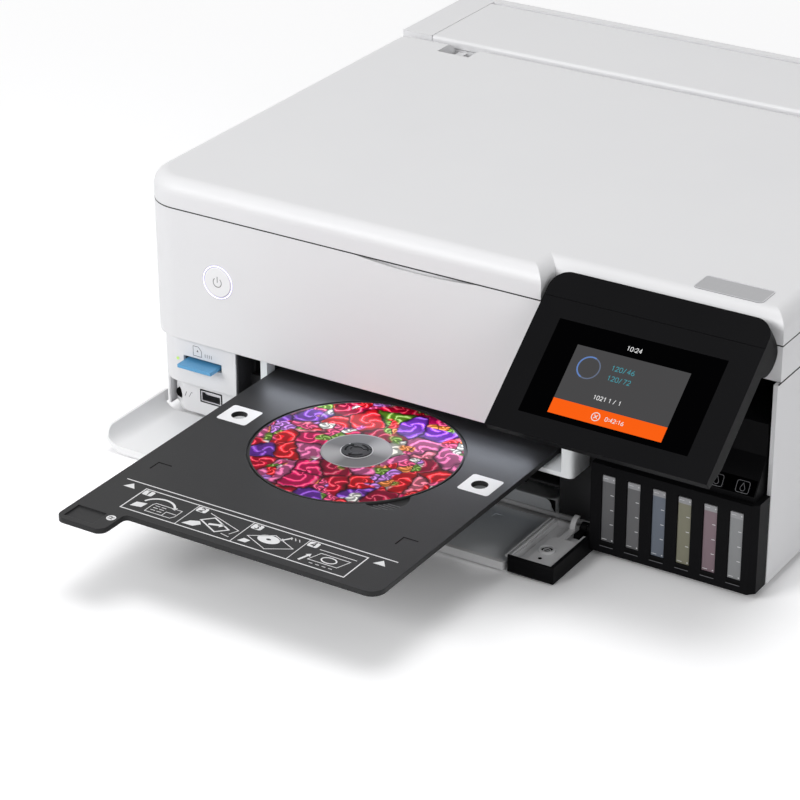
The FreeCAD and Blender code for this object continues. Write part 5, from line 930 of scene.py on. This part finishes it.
CASSETTE_FRONT, CASSETTE_TOP, CASSETTE_RIGHT = 18.5, 14.7, 270.0
CASSETTE_ROUND, SHADE_TAIL, SHADE_SHIFT = 4.6, 3.0, 2.4
shade_foot = CASSETTE_TOP - CASSETTE_ROUND
cassette_corner = ([(CASSETTE_RIGHT, shade_foot - SHADE_TAIL), (CASSETTE_RIGHT, CASSETTE_TOP),
                    (CASSETTE_RIGHT - CASSETTE_ROUND - SHADE_TAIL, CASSETTE_TOP)]
                   + arc(CASSETTE_RIGHT - CASSETTE_ROUND - SHADE_SHIFT, shade_foot, CASSETTE_ROUND, 90, 0, 8))
piece("cassette_corner_shade", front_plane(CASSETTE_FRONT), [fill(cassette_corner)], SUNK, FILM_LIFT,
      PRINT_AND_SHADE_BLACK, "paper_cassette")


# -------------------- lid badge

BADGE_LEFT, BADGE_RIGHT, BADGE_LOW, BADGE_HIGH, BADGE_ROUND = 345.9, 386.3, 23.9, 41.3, 2.4
BADGE_RIM = 0.6
BADGE_DEPTH, BADGE_LIFT = -0.4, 0.25
RIM_FOOT, RIM_LIFT = 0.2, 0.36


def badge_outline(inset):
    return rounded_box(BADGE_LEFT + inset, BADGE_RIGHT - inset, BADGE_LOW + inset, BADGE_HIGH - inset,
                       BADGE_ROUND - inset)


def badge():
    """Bare silver plate with a raised rim."""
    plane, outer = top_plane(LID_TOP), badge_outline(0.0)
    piece("lid_badge", plane, [fill(outer)], BADGE_DEPTH, BADGE_LIFT, BADGE, "document_cover")
    piece("lid_badge_rim", plane, [ring_between(outer, badge_outline(BADGE_RIM))], RIM_FOOT, RIM_LIFT,
          STEEL, "document_cover")


badge()


# -------------------- control panel screen

SCREEN_LEFT, SCREEN_RIGHT, SCREEN_LOW, SCREEN_TOP = 301.8, 368.4, 15.5, 56.5
BAR_TOP = 24.3
DIAL, DIAL_RADIUS = (313.2, 45.2), 6.3
STOP_ICON, STOP_RADIUS, STOP_REACH, STOP_LINE = (328.6, 19.8), 2.3, 1.0, 0.45
WINDOW_INK = display_ink("screen_grey", (0.062, 0.061, 0.063))
ORANGE_INK = display_ink("screen_orange", (1.0, 0.115, 0.0))
WHITE_INK = display_ink("screen_white", (0.80, 0.80, 0.80))
CYAN_INK = display_ink("screen_cyan", (0.06, 0.32, 0.38))
BLUE_INK = display_ink("screen_blue", (0.13, 0.24, 0.55))
DIM_INK = display_ink("screen_dim", (0.13, 0.16, 0.24))

# strokes of the screen's signs, in heights of a sign
DIGITS = {
    "0": ((0.0, 0.15), (0.0, 0.85), (0.15, 1.0), (0.45, 1.0), (0.6, 0.85), (0.6, 0.15), (0.45, 0.0),
          (0.15, 0.0), (0.0, 0.15)),
    "1": ((0.12, 0.8), (0.35, 1.0), (0.35, 0.0)),
    "2": ((0.0, 0.8), (0.12, 1.0), (0.48, 1.0), (0.6, 0.8), (0.58, 0.6), (0.0, 0.0), (0.62, 0.0)),
    "4": ((0.45, 0.0), (0.45, 1.0), (0.0, 0.33), (0.62, 0.33)),
    "6": ((0.5, 1.0), (0.15, 0.72), (0.0, 0.4), (0.0, 0.15), (0.15, 0.0), (0.45, 0.0), (0.6, 0.15),
          (0.6, 0.36), (0.45, 0.5), (0.08, 0.5)),
    "7": ((0.0, 1.0), (0.6, 1.0), (0.18, 0.0)),
    "/": ((0.0, -0.08), (0.42, 1.06)),
}
STROKE = 0.34
ADVANCE, SHORT_ADVANCE = 0.9, 0.42
DOT_IN, DOT_LEVELS, DOT_RADIUS = 0.1, (0.22, 0.74), 0.24


def digits(text, left, foot, height):
    """A row of numbers drawn as thin strokes; a colon is two dots and a space is a gap."""
    shapes = []
    for sign in text:
        if sign == ":":
            shapes += [fill(arc(left + DOT_IN * height, foot + share * height, DOT_RADIUS, steps=10))
                       for share in DOT_LEVELS]
        elif sign != " ":
            shapes.append(band([(left + u * height, foot + v * height) for u, v in DIGITS[sign]], STROKE))
        left += (SHORT_ADVANCE if sign in ": " else ADVANCE) * height
    return shapes


def screen(name, shapes, low, high, finish):
    piece(name, panel_plane, shapes, low, high, finish, "control_panel")


def stop_icon():
    """A ring with a cross in it."""
    u, v = STOP_ICON
    falling = [(u - STOP_REACH, v + STOP_REACH), (u + STOP_REACH, v - STOP_REACH)]
    rising = [(u - STOP_REACH, v - STOP_REACH), (u + STOP_REACH, v + STOP_REACH)]
    return [band(arc(u, v, STOP_RADIUS, steps=36), STOP_LINE, closed=True),
            band(rising, STOP_LINE), band(falling, STOP_LINE)]


screen("screen_window", [fill(rectangle(SCREEN_LEFT, SCREEN_RIGHT, SCREEN_LOW, SCREEN_TOP))], SUNK, 0.04,
       WINDOW_INK)
screen("screen_bar", [fill(rectangle(SCREEN_LEFT, SCREEN_RIGHT, SCREEN_LOW, BAR_TOP))], 0.0, MARK_LIFT,
       ORANGE_INK)
screen("screen_ring_lit", [band(arc(*DIAL, DIAL_RADIUS, 70, 250, 40), 0.8)], 0.0, MARK_LIFT, BLUE_INK)
screen("screen_ring_dim", [band(arc(*DIAL, DIAL_RADIUS, 250, 430, 40), 0.7)], 0.0, MARK_LIFT, DIM_INK)
screen("screen_title", digits("10:24", 329.0, 60.2, 2.3), 0.0, FILM_LIFT, WHITE_INK)
screen("screen_disc_lines", digits("120/46", 325.6, 47.1, 2.6) + digits("120/72", 325.6, 41.2, 2.6),
       0.0, MARK_LIFT, CYAN_INK)
screen("screen_sheet_line", digits("1021 1 / 1", 322.8, 29.1, 2.2), 0.0, MARK_LIFT, WHITE_INK)
screen("screen_stop_icon", stop_icon() + digits("0:42:16", 334.2, 18.8, 2.1), FILM_LIFT, TRIM_LIFT, WHITE_INK)


# -------------------- ink tank unit

WINDOWS = [WINDOW_FIRST + index * WINDOW_PITCH for index in range(TANK_COUNT)]
TICK_LEVELS, TICK_WIDTH = (40.8, 31.7, 22.8), 0.4
TICK_START, TICK_END = 5.3, 7.2
EDGE_LEVELS, EDGE_WIDTH = (50.4, 13.0), 0.3
EDGE_START, EDGE_END = 0.7, 3.6
DOT_AT, DOT_SIZE = 6.9, 0.42
SILL_IN = 0.2
FRAME_HALF, FRAME_FOOT, FRAME_HEAD, FRAME_ROUND = 3.7, 1.2, 7.6, 1.1
DROP_LEVEL, DROP_RADIUS, DROP_TIP, DROP_LINE = 3.5, 1.35, 6.5, 0.3
STRIP_LEFT, STRIP_RIGHT, STRIP_LOW, STRIP_HIGH = 305.0, 398.4, 0.4, 9.2
FRAME_DEPTH, FRAME_LIFT = 0.05, 0.18


def tank_marks():
    """Level ticks on each tank window, with a short line and a dot near its top and its bottom."""
    shapes = []
    for left in WINDOWS:
        for level in TICK_LEVELS:
            shapes.append(band([(left + TICK_START, level), (left + TICK_END, level)], TICK_WIDTH))
        for level in EDGE_LEVELS:
            shapes.append(band([(left + EDGE_START, level), (left + EDGE_END, level)], EDGE_WIDTH))
            shapes.append(fill(arc(left + DOT_AT, level, DOT_SIZE, steps=12)))
    return shapes


def tank_sills(level, width):
    """A line across the foot of each window."""
    return [band([(left - SILL_IN, level), (left + WINDOW_OPEN - SILL_IN, level)], width) for left in WINDOWS]


def label_frames():
    """Rounded frame and ink drop over each filler place."""
    shapes = []
    for left in WINDOWS:
        middle = left + WINDOW_OPEN / 2
        outline = rounded_box(middle - FRAME_HALF, middle + FRAME_HALF, FRAME_FOOT, FRAME_HEAD,
                              FRAME_ROUND, 4)
        shapes.append(band(outline, DROP_LINE, closed=True))
        drop = arc(middle, DROP_LEVEL, DROP_RADIUS, -215, 35, 14) + [(middle, DROP_TIP)]
        shapes.append(band(drop, DROP_LINE, closed=True))
    return shapes


piece("tank_level_marks", front_plane(TANK_NOSE), tank_marks(), SUNK, MARK_LIFT, TICK_AND_HIGHLIGHT, "chassis")
piece("tank_sill_lines", front_plane(TANK_FRONT), tank_sills(8.7, 0.3), SUNK, TRIM_LIFT, MARK_GREY,
      "chassis")
piece("tank_sill_shades", front_plane(TANK_FRONT), tank_sills(9.9, 1.5), SUNK, FILM_LIFT, PRINT_AND_SHADE_BLACK,
      "chassis")
piece("tank_label_strip", slope_plane, [fill(rectangle(STRIP_LEFT, STRIP_RIGHT, STRIP_LOW, STRIP_HIGH))],
      SUNK, TRIM_LIFT, DISPLAY, "tank_cover")
piece("tank_label_frames", slope_plane, label_frames(), FRAME_DEPTH, FRAME_LIFT, MARK_GREY, "tank_cover")


# -------------------- studio

# metres from the middle: the floor is plain matt up to the first, and plain white from the second on
FLOOR_SHADED, FLOOR_WHITE = 0.55, 1.1
FLOOR_SIZE = 16.0
AMBIENT = 0.36


def studio_floor():
    """Pale matt floor that takes the printer's shadow; seen directly it is lighter, and white far away."""
    bpy.ops.mesh.primitive_plane_add(size=FLOOR_SIZE)
    floor = bpy.context.object
    floor.name = "studio_floor"
    material = bpy.data.materials.new("studio_floor")
    material.use_nodes = True
    tree = material.node_tree
    tree.nodes.clear()
    place = object_place(tree)
    tone = blend(tree, noise(tree, place, 1.5), rgba(0.86, 0.86, 0.87), rgba(0.88, 0.88, 0.89))
    bright = blend(tree, seen_directly(tree), tone, rgba(1.2, 1.2, 1.21))
    matt = add_node(tree, "ShaderNodeBsdfDiffuse", {"Color": bright})
    output = add_node(tree, "ShaderNodeOutputMaterial")
    far = spread(tree, length_of(tree, place), 0.0, 1.0, FLOOR_SHADED, FLOOR_WHITE)
    white = add_node(tree, "ShaderNodeEmission", {"Color": rgba(1.0, 1.0, 1.0), "Strength": 1.0})
    faded = add_node(tree, "ShaderNodeMixShader", {
        0: maths(tree, "MULTIPLY", far, seen_directly(tree)), 1: matt.outputs[0], 2: white.outputs[0]})
    tree.links.new(faded.outputs[0], output.inputs["Surface"])
    floor.data.materials.append(material)


def seen_directly(tree):
    """1 for camera rays and for rays that mirrors and glass send on, 0 for the others."""
    path = add_node(tree, "ShaderNodeLightPath")
    mirrored = maths(tree, "MAXIMUM", path.outputs["Is Glossy Ray"], path.outputs["Is Transmission Ray"])
    return maths(tree, "MAXIMUM", path.outputs["Is Camera Ray"], mirrored)


def studio_world(ambient):
    """White to the eye, and a softer even light on the printer."""
    world = bpy.data.worlds.new("studio")
    bpy.context.scene.world = world
    world.use_nodes = True
    tree = world.node_tree
    tree.nodes.clear()
    soft = add_node(tree, "ShaderNodeBackground", {"Color": rgba(1.0, 1.0, 1.0), "Strength": ambient})
    white = add_node(tree, "ShaderNodeBackground", {"Color": rgba(1.0, 1.0, 1.0), "Strength": 1.0})
    chosen = add_node(tree, "ShaderNodeMixShader",
                      {0: seen_directly(tree), 1: soft.outputs[0], 2: white.outputs[0]})
    output = add_node(tree, "ShaderNodeOutputWorld")
    tree.links.new(chosen.outputs[0], output.inputs["Surface"])


def lamp(name, place, target, width, height, power, colour=(1.0, 1.0, 1.0)):
    data = bpy.data.lights.new(name, "AREA")
    data.shape = "RECTANGLE"
    data.size = width
    data.size_y = height
    data.energy = power
    data.color = colour
    made = bpy.data.objects.new(name, data)
    bpy.context.scene.collection.objects.link(made)
    made.location = place
    made.rotation_euler = (Vector(target) - Vector(place)).to_track_quat("-Z", "Y").to_euler()


def camera():
    data = bpy.data.cameras.new("photo_camera")
    data.lens = CAMERA_LENS
    data.sensor_width = CAMERA_SENSOR
    data.clip_end = CAMERA_REACH
    made = bpy.data.objects.new("photo_camera", data)
    bpy.context.scene.collection.objects.link(made)
    made.location = CAMERA_PLACE
    made.rotation_euler = [math.radians(angle) for angle in CAMERA_TURN]
    bpy.context.scene.camera = made


studio_floor()
studio_world(AMBIENT)
lamp("soft_top", place=(-0.1, -0.1, 2.4), target=(0, 0, 0), width=1.2, height=1.2, power=18.0)
lamp("soft_front", place=(-1.1, -2.4, 1.4), target=(0, 0, 0.08), width=1.2, height=1.2, power=43.0)
lamp("soft_right", place=(2.2, -1.3, 1.0), target=(0, 0, 0.08), width=1.4, height=1.4, power=12.0)
lamp("mouth_light", place=at(170.0, 9.0, 60.0), target=at(170.0, -30.0, 47.0), width=0.18, height=0.006,
     power=0.05, colour=(0.84, 0.89, 1.0))
camera()
bpy.context.scene.view_settings.view_transform = "Standard"
